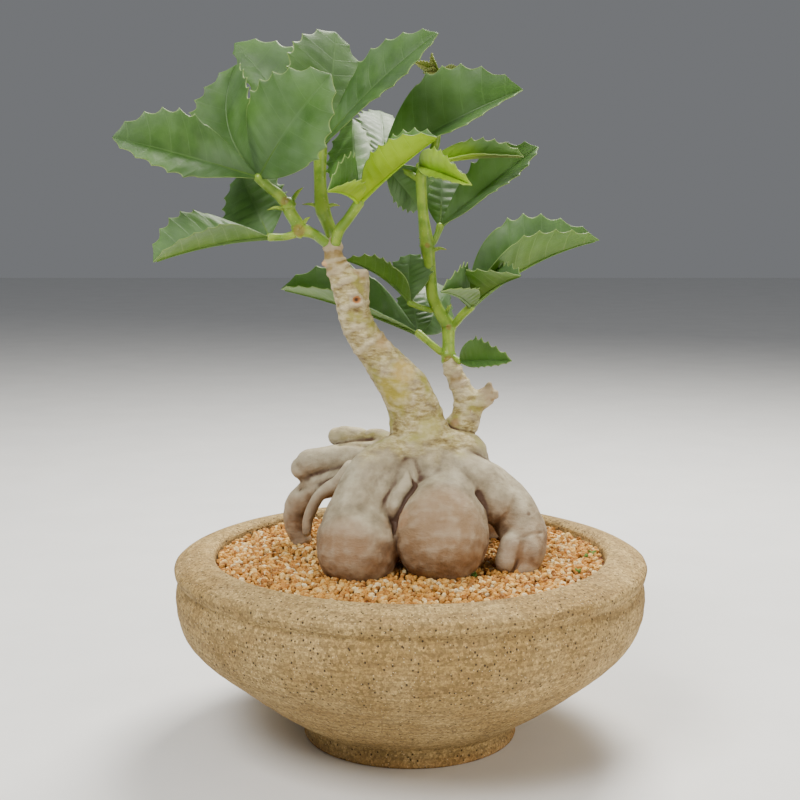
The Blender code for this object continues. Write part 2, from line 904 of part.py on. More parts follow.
grit = revolved("grit_dressing", fill_profile(GRIT_BOTTOM, GRIT_TOP, GRIT_CROWN), plant, gravel)
cut(grit, seat_cutter(wood, helpers))

for key in SHOOT_PATHS:
    shoot = build_shoot(key, 0.0, plant, green_stem)
    cut(shoot, limb_cutter(SHOOT_LIMBS[key], helpers))

for key in LEAVES:
    leaf = build_leaf(key, plant, foliage)
    for shoot_key, limb in SHOOT_LIMBS.items():
        cut(leaf, build_shoot(shoot_key, STEM_GAP, helpers))
        cut(leaf, limb_cutter(limb, helpers))

remove_objects(helpers.objects)
bpy.data.collections.remove(helpers)
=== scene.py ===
"""Looks of a potted tree grape: fine bark, toothed leaves, loose grit and thrown stoneware.

Lengths are millimetres in the frame's own axes, and MM turns them into metres. Only the camera,
the lights and the floor are given in metres.
"""

import math
import random

import bmesh
import bpy
import numpy as np
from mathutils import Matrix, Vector, noise
from mathutils.bvhtree import BVHTree


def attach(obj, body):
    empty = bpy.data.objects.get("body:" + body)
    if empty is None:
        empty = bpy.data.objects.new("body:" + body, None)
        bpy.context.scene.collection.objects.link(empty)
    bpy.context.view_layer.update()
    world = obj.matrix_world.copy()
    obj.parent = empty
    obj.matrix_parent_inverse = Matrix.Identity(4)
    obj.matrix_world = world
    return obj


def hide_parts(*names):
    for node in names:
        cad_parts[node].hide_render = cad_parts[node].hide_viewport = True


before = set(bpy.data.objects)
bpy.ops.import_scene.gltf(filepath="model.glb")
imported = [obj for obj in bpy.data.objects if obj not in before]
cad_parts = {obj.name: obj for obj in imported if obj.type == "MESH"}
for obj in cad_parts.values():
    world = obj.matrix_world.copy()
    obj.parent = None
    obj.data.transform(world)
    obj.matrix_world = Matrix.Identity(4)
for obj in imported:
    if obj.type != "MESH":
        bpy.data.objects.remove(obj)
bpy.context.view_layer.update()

MM = 0.001

# The camera's place in metres, its tilt up from straight down in degrees, and its lens.
CAMERA_PLACE = (-0.0048, -0.6456, 0.24986)
CAMERA_TILT = 81.954
CAMERA_LENS = 63.24

# Each wood row: x, y, z, radius.
WOOD_PATHS = {
    "trunk": (
        (5, 0, 136, 15), (3, -2, 150, 12.3), (-2, -4, 163, 11.3), (-10, -5, 174, 9.4),
        (-18, -6, 184, 7.8), (-24, -7, 194, 7.3), (-27, -8, 206, 7.1), (-29, -8, 213, 6.6),
        (-32, -8, 218, 5.4), (-34, -8, 223, 4.8), (-35, -8, 228, 3.8), (-35, -8, 230, 4.2),
    ),
    "trunk_stub": ((-26, -7, 205, 6.4), (-24, -6, 212, 5.6), (-23, -5, 218, 3.9)),
    "pruned_limb": ((-4, -4, 164, 9.5), (2, -3, 172.5, 7.4)),
    "knob": ((-18, -6, 186, 4.5), (-14, -6, 188, 2.6)),
    "branch": (
        (19, 5, 134, 11.5), (23, 6, 143, 7.6), (27, 7, 152, 6.7), (25, 8, 161, 5.6),
        (21, 10, 169, 4.3), (19, 11, 174, 4),
    ),
    "branch_stub": ((28, 7, 155, 5.4), (33, 6, 158, 5), (37, 5, 161, 3.9)),
    "crown": ((-2, -2, 132, 12), (9, 2, 129, 16), (24, 4, 127, 14)),
    "lobe_pear": (
        (-3, -10, 133, 8), (-11, -18, 125, 8.5), (-19, -25, 114, 10.5), (-23, -31, 103, 18),
        (-24, -34, 96, 18.5),
    ),
    "lobe_round": ((14, -8, 128, 14), (16, -16, 117, 17), (14, -30, 105, 21), (14, -33, 101, 21.2)),
    "lobe_arm": (
        (22, 0, 126, 12), (35, -6, 118, 12), (45, -12, 110, 11.6), (51, -18, 101, 11),
        (51, -25, 93, 10), (50, -29, 87, 7.5),
    ),
    "lobe_bump": ((46, -28, 97, 6), (43, -32, 90, 5.2)),
    "lobe_narrow": (
        (-1, -14, 128, 5.5), (-5, -22, 121, 6.5), (-7, -26, 113, 6.8), (-5, -26, 106, 5.5),
    ),
    "lobe_finger": ((-9, 6, 130, 9), (-24, 14, 129, 7.5), (-41, 18, 126, 7), (-51, 18, 123, 6.2)),
    "lobe_arch": (
        (-18, 4, 122, 8), (-31, 10, 118, 6.6), (-45, 16, 114, 6.6), (-54, 20, 104, 6.2),
        (-55, 20, 95, 5.8), (-53, 20, 88, 5.4),
    ),
    "lobe_upper_a": ((-16, 16, 133, 4.8), (-27, 24, 136, 5.2), (-35, 26, 137, 4.7)),
    "lobe_upper_b": ((-9, 10, 136, 5), (-15, 16, 139, 3.7), (-19, 18, 139, 3.2)),
    "lobe_back_right": ((21, 14, 127, 13), (32, 30, 112, 13), (36, 40, 92, 14)),
    "lobe_back_left": ((0, 14, 127, 12), (-9, 32, 111, 12), (-13, 44, 92, 13)),
    "root_left": ((-22, -33, 84, 4.5), (-21, -31, 66, 3.2), (-21, -30, 44, 1.6)),
    "root_middle": ((14, -31, 84, 5), (14, -30, 64, 3.6), (14, -30, 38, 1.8)),
    "root_back": ((29, 38, 96, 6), (30, 39, 66, 3.6), (30, 39, 42, 1.8)),
    # Smaller swellings that join and fill out the limbs.
    "flap": (
        (-28, 0, 126, 4), (-34, 3, 119, 3.4), (-43, 6, 112, 3), (-48, 8, 102, 2.8),
        (-49, 8, 94, 2.6),
    ),
    "pear_neck": (
        (-8, -12, 135, 9), (-17, -17, 129, 10.5), (-22, -22, 122, 10), (-25, -27, 115, 11.5),
        (-26, -30, 108, 14),
    ),
    "narrow_front": (
        (0, -16, 129, 6.5), (-2, -20, 123, 8), (-6, -22, 116, 9.3), (-9, -23, 109, 9.3),
        (-9, -25, 101, 7.5),
    ),
    "flare": ((3, -2, 148, 12.8), (5, -4, 139, 15.5), (6, -3, 132, 16.5)),
    "round_neck": ((9, -14, 131, 9.5), (11, -19, 122, 9)),
    "shoulder": ((10, -6, 135, 9), (20, -12, 128, 11), (29, -14, 122, 12), (38, -15, 114, 11.5)),
    "crown_front": ((-4, -10, 137, 8), (3, -12, 138, 8.5), (13, -7, 136, 11), (26, -3, 134, 10)),
    "finger_front": ((-48, 17, 126, 6.8), (-38, 17, 127, 6.8), (-24, 14, 130, 6.5)),
    "thumb": ((-32, 25, 137, 5.4), (-24, 22, 137, 5)),
    "scar_ridge": ((-33, -32, 117, 1.8), (-29, -35, 119, 2.2), (-25, -34, 119, 1.3)),
    "node_nub": ((-36, -10, 221, 1.7), (-39, -11, 222, 1)),
    "stub_peg": ((35, 5, 160, 3.2), (37, 5, 165, 1.7)),
    "stub_side": ((36, 5, 159, 3.2), (41, 4, 161, 2)),
    "low_knob": ((-14, -8, 183, 4.2), (-11, -9, 184, 2.4)),
    "arm_heel": ((53, -26, 89, 6.5), (52, -30, 85, 4)),
}

# Limbs with a cut end, and how far it bulges, as a share of its radius.
CUT_LIMBS = ("trunk_stub", "branch_stub", "pruned_limb", "stub_side")
CUT_BULGE = 0.25

# The skin over the limbs, and the heights between which the lobes' bark becomes the trunk's.
WOOD_STEP = 1.2
WOOD_SIDES = 36
WOOD_VOXEL = 0.9
WOOD_EASE = 0.5
WOOD_SMOOTHING = 5
TRUNK_START = 138.0
TRUNK_FULL = 152.0

# Each shoot row: x, y, z, radius.
SHOOT_PATHS = {
    "shoot_left": (
        (-35, -8, 229, 2.4), (-39, -9, 232, 2.3), (-43, -9, 235, 2.3), (-48, -10, 237, 2.5),
        (-50, -10, 237, 3.3), (-51, -10, 240, 3), (-54, -11, 245, 2.8), (-55, -12, 249, 3.3),
        (-56, -12, 250, 2.2),
    ),
    "shoot_right": (
        (19, 11, 172, 2.6), (18, 12, 177, 3.4), (18, 13, 183, 2.9), (18, 14, 189, 3.1),
        (18, 15, 192, 3.5), (14, 15, 198, 2.8), (11, 16, 204, 2.8), (10, 16, 209, 2.8),
        (9, 17, 222, 2.8), (8, 18, 229, 3.4), (6, 17, 244, 2.5), (5, 16, 260, 2.5),
        (6, 17, 265, 2.3), (10, 20, 272, 2.1), (12, 21, 278, 2), (13, 23, 292, 1.8),
        (14, 25, 306, 1.7), (14, 25, 310, 1.5),
    ),
}

# Stipules: x, y, z of the root and of the tip.
STIPULES = {
    "shoot_left": (
        ((-53, -12, 250), (-48, -12, 256)), ((-57, -12, 246.5), (-64, -12, 246)),
        ((-49, -10, 238.5), (-45, -11, 243)),
    ),
    "shoot_right": (
        ((16.6, 15, 196.5), (19.4, 14.5, 202)), ((7.4, 17, 229.5), (4, 16.5, 233)),
        ((10.4, 17, 227), (17, 15, 227.5)),
    ),
    "leaf_centre": (((-41, -3, 247), (-49, -4, 248.5)), ((-38.5, -3.5, 247), (-32, -5, 248))),
}

# Each stalk row: x, y, z, radius. The leaflets start from the last one.
LEAF_STALKS = {
    "leaf_left": (
        (-56, -12, 249, 2.4), (-59, -13, 253, 2.5), (-63, -15, 256, 2.3), (-67, -17, 260, 2.4),
    ),
    "leaf_low_left": (
        (-50, -10, 236, 1.5), (-53, -11, 235, 1.7), (-57, -12, 234, 1.6), (-63, -14, 234, 1.8),
    ),
    "leaf_centre": (
        (-35, -6, 231, 2.7), (-36, -4, 236, 2.9), (-38, -3, 241, 3), (-40, -3, 247, 3.4),
        (-41, -1, 259, 2.8), (-41, 2, 274, 3.2),
    ),
    "leaf_lit": (
        (-34, -10, 231, 2.4), (-32, -13, 237, 2.5), (-28, -16, 242, 2.3), (-23, -20, 249, 2.4),
    ),
    "leaf_upper_right": (
        (5, 16, 259, 1.4), (1, 19, 262, 1.6), (-4, 20, 265, 1.6), (-8, 19, 267, 1.6),
        (-13, 18, 267, 2),
    ),
    "leaf_top": ((6, 16, 262, 1.4), (5, 12, 265, 1.5), (4, 9, 266, 1.6)),
    "leaf_right": ((9, 18, 229, 1.6), (11, 19, 231, 1.6), (13, 20, 235, 1.5), (14, 21, 238, 1.9)),
    "leaf_low_right": ((18, 15, 191, 1.8), (21, 13, 193, 1.9), (24, 10, 197, 1.9), (28, 8, 201, 2)),
    "leaf_single": ((18, 12, 179, 1.3), (21, 9, 177, 1.3), (23, 6, 176, 1.5)),
    "leaf_inner_left": ((17, 13, 179, 1.7), (14, 13, 180, 1.8), (9, 14, 184, 1.7), (4, 16, 188, 2)),
    "leaf_inner_small": (
        (10, 16, 199, 1.2), (7, 14, 200, 1.4), (4, 12, 201, 1.3), (0, 11, 203, 1.6),
    ),
}

# Each leaflet: its tip, the widths of its right and left halves, their turns about the midrib in
# degrees, the midrib's arch and sideways sway, and a form, which above 1 puts the widest part
# nearer the tip.
LEAFLETS = {
    "leaf_left": (
        ((-128, -34, 277), (18.5, 13), (-18, 125), 1, 0, 1.3),
        ((-79, 6, 311), (19, 15.5), (48, 166), 2, -8, 1),
        ((-34, -38, 303), (20, 22), (30, 192), 4, 0, 1.1),
    ),
    "leaf_low_left": (
        ((-111, -38, 224), (20, 20), (68, -38), 2, 0, 1.3),
        ((-78, 8, 263), (15, 17), (-20, 200), 2, 0, 1.2),
        ((-88, 34, 244), (13, 13), (-20, 160), 3, 0, 1.3),
    ),
    "leaf_centre": (
        ((-82, 28, 323), (20, 8), (-20, 172), 3, 0, 1.35),
        ((-35, 28, 328), (18, 23), (-34, 146), 2, 0, 1.3),
        ((12, -12, 323), (11, 18.5), (62, 226), 3, 0, 1.35),
    ),
    "leaf_lit": (
        ((-35, -56, 254), (16, 9), (-12, 38), 2, 0, 1.15),
        ((11, -34, 277), (19, 15), (128, 222), 1, 0, 1.35),
        ((-27, 24, 288), (8, 15), (-15, 208), 2, 0, 1.2),
    ),
    "leaf_upper_right": (
        ((51, 6, 300), (14, 24), (76, 188), 3, 0, 1.1),
        ((4, 31, 246), (8, 13), (30, 180), 3, 0, 1.2),
        ((-15, 62, 294), (14, 12), (-20, 160), 3, 0, 1.3),
    ),
    "leaf_top": (
        ((27, -16, 257), (7, 13), (62, 128), 3, 0, 1),
        ((52, 8, 270), (8, 9), (96, 150), 3, 0, 1.2),
    ),
    "leaf_right": (
        ((60, 22, 275), (12, 13), (70, 196), 1, 0, 1.3),
        ((16, 50, 272), (14, 9), (-25, 200), 2, 0, 1.1),
    ),
    "leaf_low_right": (
        ((13, -34, 211), (14, 9), (-18, 38), 2, 0, 1),
        ((49, -18, 217), (19, 12), (140, 238), 2, 0, 0.85),
        ((88, 14, 232), (20, 23), (130, 192), 5, 0, 0.9),
    ),
    "leaf_single": (
        ((46, -10, 178), (5, 12), (60, 150), 2, 0, 1),
    ),
    "leaf_inner_left": (
        ((-62, 32, 208), (20, 18), (-25, 72), 2, 0, 1.3),
        ((0, 34, 209), (10, 11), (-25, 200), 2, 0, 1),
        ((19, 60, 207), (12, 14), (-30, 190), 3, 0, 1.1),
    ),
    "leaf_inner_small": (
        ((-30, 10, 223), (15, 8), (58, -35), 3, 0, 0.95),
        ((0, 24, 225), (11, 10), (15, 195), 2, 0, 1.3),
    ),
}

# The unfolding tip of the right shoot: its base, and its young leaflets in the same form.
TIP_BASE = (14, 25, 309)
TIP_LEAFLETS = (
    ((2, 24, 314), (2.8, 2.4), (30, 150), 1, 0, 1.0),
    ((6, 22, 309), (2.4, 2.2), (20, 130), 1, 0, 1.0),
    ((10, 22, 318), (2.4, 2.0), (80, 190), 1, 0, 1.0),
    ((23, 27, 311), (2.2, 2.4), (70, 170), 1, 0, 1.0),
)

# The turns of a leaflet's halves are counted from this side.
VIEW_SIDE = np.array((0.0, -1.0, 0.0))

# Teeth of each half: where they start and end along the blade, the places of their rows, how far
# they stand out, lean forward and sink between, their tapering towards the tip, and the powers
# of the curves by which they rise, fall and lean.
TEETH = 5
TOOTH_START = 0.44
TOOTH_END = 0.985
TOOTH_SPAN = (TOOTH_END - TOOTH_START) / TEETH
TOOTH_STEPS = (0.0, 0.16, 0.3, 0.4, 0.46, 0.5, 0.54, 0.62, 0.78)
TOOTH_OUT = 1.9
TOOTH_FORWARD = 1.3
TOOTH_VALLEY = 0.3
TOOTH_TAPER = 0.35
TOOTH_RISE = 1.9
TOOTH_FALL = 2.2
TOOTH_LEAN = 1.5

# The blade: rows and columns, widths, thickness, veins and waves. Halves under WIDE_HALF have
# smaller teeth and waves.
WIDE_HALF = 12.0
BLADE_ACROSS = (0.0, 0.03, 0.08, 0.16, 0.27, 0.4, 0.54, 0.68, 0.8, 0.9, 0.96, 1.0)
BLADE_BASE_ROWS = 20
BLADE_LAST_ROWS = (TOOTH_END, 0.993, 1.0)
BLADE_HALF_THICKNESS = 0.3
BLADE_THINNING = 0.45
BLADE_LEAST = 0.4
BLADE_TIP = 0.2
BLADE_FULLNESS = 0.75
BLADE_CAMBER = 0.05
VEIN_LAG = 0.5
VEIN_CURVE = 1.15
VEIN_QUILT = 0.22
MARGIN_WAVE = 0.8
MARGIN_WAVES = 1.6
LEAF_PHASE = 0.37
LEAFLET_PHASE = 0.29
HALF_PHASE = 0.3
TIP_PHASE = 0.3

# The rib under the blade and the stalk.
RIB_POINTS = 26
RIB_SPAN = (-0.02, 0.97)
RIB_DROP = 0.35 * BLADE_HALF_THICKNESS + 0.25
RIB_THIN = 0.3
RIB_THICKENING = 0.85
RIB_TAPER = 1.3
RIB_FULL_LENGTH = 60
RIB_SIDES = 8
STALK_STEP = 1.0
STALK_SIDES = 16

# Small scales: how far their middle is raised, their radii, sides and flatness.
STIPULE_FORM = (0.8, (1.1, 0.85, 0.12), 10, 0.55)
MOSS_FORM = (0.4, (0.5, 0.6, 0.1), 8, 0.4)
SCALE_STEP = 0.5

# Material slots of a leaf.
UPPER, UNDER, STALK = range(3)

# The pot's profile in sections of radius and height, from the middle of the floor inside, over
# the lip and down the outer side to the foot.
POT_SECTIONS = (
    ((0.0, 9.0), (44.0, 10.0)),
    ((44.0, 10.0), (56.0, 18.0), (68.0, 27.0), (79.0, 36.0), (89.5, 45.0), (96.5, 54.0),
     (99.6, 63.0), (97.5, 72.0), (91.6, 80.0), (91.0, 84.5)),
    ((91.0, 84.5), (91.8, 87.4), (95.6, 88.9), (103.0, 87.4), (108.8, 84.6), (110.0, 82.4)),
    ((110.0, 82.4), (109.6, 80.0), (108.6, 78.4), (107.7, 77.6)),
    ((107.7, 77.6), (108.9, 74.2), (109.5, 69.9), (108.6, 61.1), (105.3, 52.3), (98.2, 43.5),
     (87.5, 34.7), (76.4, 25.9), (64.4, 17.1), (51.6, 9.0)),
    ((51.6, 9.0), (50.3, 7.6), (50.1, 4.0), (50.6, 1.0), (50.0, 0.0)),
    ((50.0, 0.0), (0.0, 0.0)),
)

# Steps round the pot and along its profile, and how high its foot stays even.
POT_STEPS = 224
POT_ROW = 1.0
POT_FLAT = 0.5

# The radii between which the thrown relief comes in and past which finger lines show in full,
# and how far the lines climb in a turn.
THROWN_START = 20.0
THROWN_FULL = 45.0
THROWN_WALL = 52
THROWN_CLIMB = 1.3

# Drain holes: their number, radius and circle, and the sides, length and middle of the cut.
DRAIN_HOLES = 4
DRAIN_RADIUS = 6.0
DRAIN_CIRCLE = 26.0
DRAIN_SIDES = 48
DRAIN_CUT = 30
DRAIN_MIDDLE = 5

# The grit's level at the rim, its rise in the middle, its radius and underside, and the bed
# under the loose granules. Waves and bumps are heights and sizes.
GRIT_LEVEL = 84.5
GRIT_CROWN = 1.2
GRIT_RADIUS = 91.0
GRIT_BOTTOM = 74.35
GRIT_WAVE = (0.5, 14)
BED_DEPTH = 1.6
BED_RINGS = 60
BED_STEPS = 160
BED_BUMPS = (0.7, 1.6)

# Granules start from rows of triangles, GRAIN_ROWS of the pitch apart, and are moved at random.
GRAIN_PITCH = 2.4
GRAIN_ROWS = 0.866
GRAIN_JITTER = 0.4
GRAIN_SIZES = (1.05, 1.6)
GRAIN_LIFTS = (-0.5, 0.7)
GRAIN_STRETCH = (0.7, 1.2)
GRAIN_ROUGHNESS = (0.74, 1.16)
GRAIN_PARTS = 3
GRAIN_SEED = 11

# Tubes: how far out the rings of a domed end stand, and any direction to start the turns from.
DOME_SHARES = (0.25, 0.5, 0.7, 0.85, 0.95, 0.995)
FIRST_ACROSS = (0.31, 0.87, 0.38)


class Shape:
    """A mesh that grows part by part: points, a mark for each point, faces and their slots."""

    def __init__(self):
        self.points = []
        self.marks = []
        self.faces = []
        self.slots = []
        self.count = 0

    def add(self, points, marks, faces, slots):
        self.points.append(points)
        self.marks.append(marks)
        self.faces += [tuple(self.count + i for i in face) for face in faces]
        self.slots += slots
        self.count += len(points)

    def rings(self, rings, marks, column_slots):
        """Closed rings joined into a skin, with a cap on each end."""
        rows, columns = rings.shape[:2]
        faces = []
        for a in range(0, (rows - 1) * columns, columns):
            b = a + columns
            for j in range(columns):
                k = (j + 1) % columns
                faces.append((a + j, a + k, b + k, b + j))
        faces.append(tuple(reversed(range(columns))))
        faces.append(tuple(range((rows - 1) * columns, rows * columns)))
        slots = column_slots * (rows - 1) + column_slots[:1] * 2
        self.add(rings.reshape(-1, 3), marks.reshape(-1, 3), faces, slots)

    def mesh(self, name, smooth=True):
        mesh = bpy.data.meshes.new(name)
        points = np.concatenate(self.points) * MM
        mesh.from_pydata(points.tolist(), [], self.faces)
        mesh.polygons.foreach_set("material_index", self.slots)
        mesh.polygons.foreach_set("use_smooth", [smooth] * len(self.faces))
        set_marks(mesh, np.concatenate(self.marks))
        mesh.validate()
        return outward(mesh)


def set_marks(mesh, marks):
    """Keep three numbers for each point, for the materials to read."""
    kept = mesh.attributes.new("mark", "FLOAT_VECTOR", "POINT")
    kept.data.foreach_set("vector", marks.ravel())


def outward(mesh):
    """Turn the faces of a closed mesh outwards."""
    work = bmesh.new()
    work.from_mesh(mesh)
    bmesh.ops.recalc_face_normals(work, faces=work.faces)
    if work.calc_volume(signed=True) < 0:
        bmesh.ops.reverse_faces(work, faces=work.faces)
    work.to_mesh(mesh)
    work.free()
    return mesh


def ringed_mesh(name, rings):
    """A plain skin over rings of points."""
    shape = Shape()
    rings = np.array(rings)
    shape.rings(rings, np.zeros_like(rings), [0] * rings.shape[1])
    return shape.mesh(name)


def placed(name, data):
    """A new object in the scene."""
    obj = bpy.data.objects.new(name, data)
    bpy.context.scene.collection.objects.link(obj)
    return obj


def piece(name, mesh, nodes, materials):
    """A piece of the plant or pot, which may stand for nodes of the frame."""
    obj = placed(name, mesh)
    for material in materials:
        obj.data.materials.append(material)
    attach(obj, "root")
    if nodes:
        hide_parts(*nodes)
    return obj


def evaluated_mesh(obj):
    bpy.context.view_layer.update()
    graph = bpy.context.evaluated_depsgraph_get()
    return bpy.data.meshes.new_from_object(obj.evaluated_get(graph))


def unit(vector):
    return vector / np.linalg.norm(vector)


def step_up(value, low, high):
    """0 below low, 1 above high, smooth between them."""
    t = min(1.0, max(0.0, (value - low) / (high - low)))
    return t * t * (3 - 2 * t)


def uneven(place, *layers):
    """Noise at a place, in layers of height and size."""
    return sum(height * noise.noise(place / size) for height, size in layers)


def smooth_path(rows, step):
    """Catmull-Rom points along the rows, about one step apart."""
    points = np.array(rows, dtype=float)
    points = np.vstack([2 * points[0] - points[1], points, 2 * points[-1] - points[-2]])
    space = min(3, points.shape[1])
    path = []
    for before, here, there, after in zip(points, points[1:], points[2:], points[3:]):
        count = max(1, round(np.linalg.norm((there - here)[:space]) / step))
        slope = there - before
        bend = 2 * before - 5 * here + 4 * there - after
        twist = 3 * here - before - 3 * there + after
        for t in np.arange(count) / count:
            path.append(0.5 * (2 * here + slope * t + bend * t**2 + twist * t**3))
    path.append(points[-2])
    return np.array(path)


def domed(path, bulge=1.0):
    """The path with a dome at each end."""
    ends = []
    for end, before in ((path[0], path[1]), (path[-1], path[-2])):
        out = unit(end[:3] - before[:3])
        rows = [
            (*(end[:3] + out * end[3] * share * bulge), end[3] * math.sqrt(1 - share**2))
            for share in DOME_SHARES
        ]
        ends.append(np.array(rows))
    return np.vstack([ends[0][::-1], path, ends[1]])


def add_tube(shape, path, sides, slot, flat=1.0):
    """A skin round a path of x, y, z, radius. Its marks are length, turn and radius."""
    centres, radii = path[:, :3], path[:, 3]
    along = np.gradient(centres, axis=0)
    along /= np.linalg.norm(along, axis=1)[:, None]
    across = np.cross(along[0], FIRST_ACROSS)
    turns = np.arange(sides) / sides * math.tau
    rings = []
    for centre, radius, direction in zip(centres, radii, along):
        across = unit(across - direction * across.dot(direction))
        up = np.cross(direction, across)
        ring = np.outer(np.cos(turns), across) + flat * np.outer(np.sin(turns), up)
        rings.append(centre + radius * ring)
    steps = np.linalg.norm(np.diff(centres, axis=0), axis=1)
    marks = np.zeros((len(path), sides, 3))
    marks[:, :, 0] = np.concatenate([[0], np.cumsum(steps)])[:, None]
    marks[:, :, 1] = turns / math.tau
    marks[:, :, 2] = radii[:, None]
    shape.rings(np.array(rings), marks, [slot] * sides)


def wood_mesh():
    """One skin over the overlapping limbs."""
    shape = Shape()
    for name, rows in WOOD_PATHS.items():
        path = domed(smooth_path(rows, WOOD_STEP), CUT_BULGE if name in CUT_LIMBS else 1.0)
        add_tube(shape, path, WOOD_SIDES, 0)
    body = placed("wood", shape.mesh("wood"))
    skin = body.modifiers.new("skin", "REMESH")
    skin.mode = "VOXEL"
    skin.voxel_size = WOOD_VOXEL * MM
    ease = body.modifiers.new("ease", "SMOOTH")
    ease.factor = WOOD_EASE
    ease.iterations = WOOD_SMOOTHING
    mesh = evaluated_mesh(body)
    bpy.data.objects.remove(body)
    mesh.polygons.foreach_set("use_smooth", [True] * len(mesh.polygons))
    return mesh


# Raised rings on the wood: place, axis, width and height.
WOOD_RINGS = (
    ((-32.5, -8, 219.5), (-0.45, 0.0, 0.9), 1.0, 0.9),
    ((-34.5, -8, 223.5), (-0.2, 0.0, 1.0), 0.8, 0.7),
    ((-35.0, -8, 229.0), (0.0, 0.0, 1.0), 1.1, 0.9),
    ((-30.0, -8, 214.0), (-0.4, 0.0, 0.9), 1.3, 0.8),
    ((-27.5, -8, 203.0), (-0.25, 0.0, 0.97), 1.2, 0.6),
    ((-23.5, -7, 194.0), (-0.5, 0.0, 0.87), 1.2, 0.5),
    ((-19.0, -6, 186.0), (-0.55, 0.0, 0.83), 1.2, 0.6),
    ((20.0, 10, 171.0), (-0.3, 0.1, 0.9), 0.9, 0.6),
    ((23.5, 9, 165.0), (-0.4, 0.1, 0.9), 0.9, 0.6),
    ((26.5, 7, 156.0), (-0.1, 0.0, 1.0), 1.0, 0.6),
    ((24.0, 6, 146.0), (0.3, 0.0, 0.95), 1.2, 0.5),
)
RING_REACH = 13.0

# The bud scar on the trunk: a round rim with a shallow middle.
BUD_SCAR = (-24.5, -14.0, 206.0)
BUD_SCAR_RADIUS = 2.4
BUD_RIM_HEIGHT = 1.2
BUD_RIM_WIDTH = 0.32
BUD_DEPTH = 0.9

# Creases in the wood: width, depth, how much further they reach along Y, and path.
CREASES = (
    (1.0, 2.8, 5.0,
     ((-1, -15, 132), (-7, -21, 124), (-12, -25, 118), (-14, -28, 111), (-12, -32, 104))),
    (0.8, 1.6, 4.0,
     ((-1, -20, 131), (2, -29, 124), (-2, -32, 119), (-6, -35, 112), (-8, -37, 103))),
    (1.4, 2.4, 2.0, ((30, -27, 120), (32, -26, 116), (35, -20, 108), (37, -14, 98))),
    (1.6, 1.8, 1.0,
     ((-5, -15, 139), (-14, -14, 134), (-22, -4, 128), (-29, 0, 121), (-33, 3, 113))),
    (1.6, 2.2, 1.0, ((-16, 0, 128), (-28, 4, 122), (-43, 10, 117), (-53, 15, 113))),
    (1.2, 1.0, 1.0, ((-14, 0, 138), (-24, 10, 135), (-34, 16, 134))),
    (0.7, 0.5, 1.0, ((45, -34, 101), (50, -32, 101), (54, -30, 102), (59, -27, 102))),
    (0.9, 0.9, 1.0, ((50, -33, 101), (49, -36, 94), (46, -36, 87))),
    (1.6, 1.6, 1.0, ((32, 17, 124), (36, 22, 116), (35, 24, 108))),
    (1.8, 2.4, 1.0, ((6, 18, 134), (9, 26, 124), (10, 32, 112))),
)

# How often the surroundings are averaged to find the hollows.
HOLLOW_ROUNDS = 14


def bark_relief(place):
    """Height of the bark above the smooth skin, in millimetres."""
    trunk = step_up(place.z, TRUNK_START, TRUNK_FULL)
    lobe = uneven(place, (0.8, 14), (0.30, 5), (0.12, 1.9))
    wrinkles = Vector((place.x / 6, place.y / 6, place.z / 1.9))
    grooves = Vector((place.x / 2.4, place.y / 2.4, place.z / 9))
    bark = 0.60 * noise.noise(place / 8) + 0.28 * noise.noise(wrinkles)
    bark += 0.22 * noise.noise(grooves) + 0.22 * noise.noise(place / 1.7)
    height = (1 - trunk) * lobe + trunk * bark
    for centre, axis, width, size in WOOD_RINGS:
        away = place - Vector(centre)
        if away.length < RING_REACH:
            along = away.dot(Vector(axis)) + uneven(place, (0.6, 4))
            height += size * math.exp(-((along / width) ** 2))
    away = (place - Vector(BUD_SCAR)).length / BUD_SCAR_RADIUS
    rim = BUD_RIM_HEIGHT * math.exp(-(((away - 1.0) / BUD_RIM_WIDTH) ** 2))
    return height + rim - BUD_DEPTH * math.exp(-3 * away**2)


def crease_depth(points):
    """How far the creases sink each point, in millimetres."""
    depth = np.zeros(len(points))
    for width, size, reach, path in CREASES:
        squash = np.array((1.0, 1.0 / reach, 1.0))
        places = points * squash
        ends = np.array(path) * squash
        for start, end in zip(ends, ends[1:]):
            line = end - start
            share = np.clip((places - start) @ line / line.dot(line), 0, 1)
            away = np.linalg.norm(places - start - np.outer(share, line), axis=1)
            depth = np.maximum(depth, size * np.exp(-((away / width) ** 2)))
    return depth


def vertex_array(mesh, name):
    values = np.empty(3 * len(mesh.vertices))
    mesh.vertices.foreach_get(name, values)
    return values.reshape(-1, 3)


def mark_hollows(mesh):
    """Keep for each point how far it lies below its surroundings, in millimetres."""
    edges = np.empty(2 * len(mesh.edges), dtype=np.int32)
    mesh.edges.foreach_get("vertices", edges)
    starts = np.concatenate([edges[::2], edges[1::2]])
    ends = np.concatenate([edges[1::2], edges[::2]])
    points = vertex_array(mesh, "co") / MM
    count = np.bincount(starts, minlength=len(points))
    eased = points
    for _ in range(HOLLOW_ROUNDS):
        sums = [np.bincount(starts, eased[ends, k], len(points)) for k in range(3)]
        eased = np.stack(sums, axis=1) / count[:, None]
    marks = np.zeros_like(points)
    marks[:, 0] = ((eased - points) * vertex_array(mesh, "normal")).sum(axis=1)
    set_marks(mesh, marks)


def roughened_wood():
    mesh = wood_mesh()
    points = vertex_array(mesh, "co") / MM
    normals = vertex_array(mesh, "normal")
    height = np.array([bark_relief(Vector(point)) for point in points]) - crease_depth(points)
    mesh.vertices.foreach_set("co", ((points + normals * height[:, None]) * MM).ravel())
    mesh = outward(mesh)
    mark_hollows(mesh)
    return mesh


def half_width(t, form):
    return np.sin(np.pi * np.clip(t, 0, 1) ** form) ** BLADE_FULLNESS


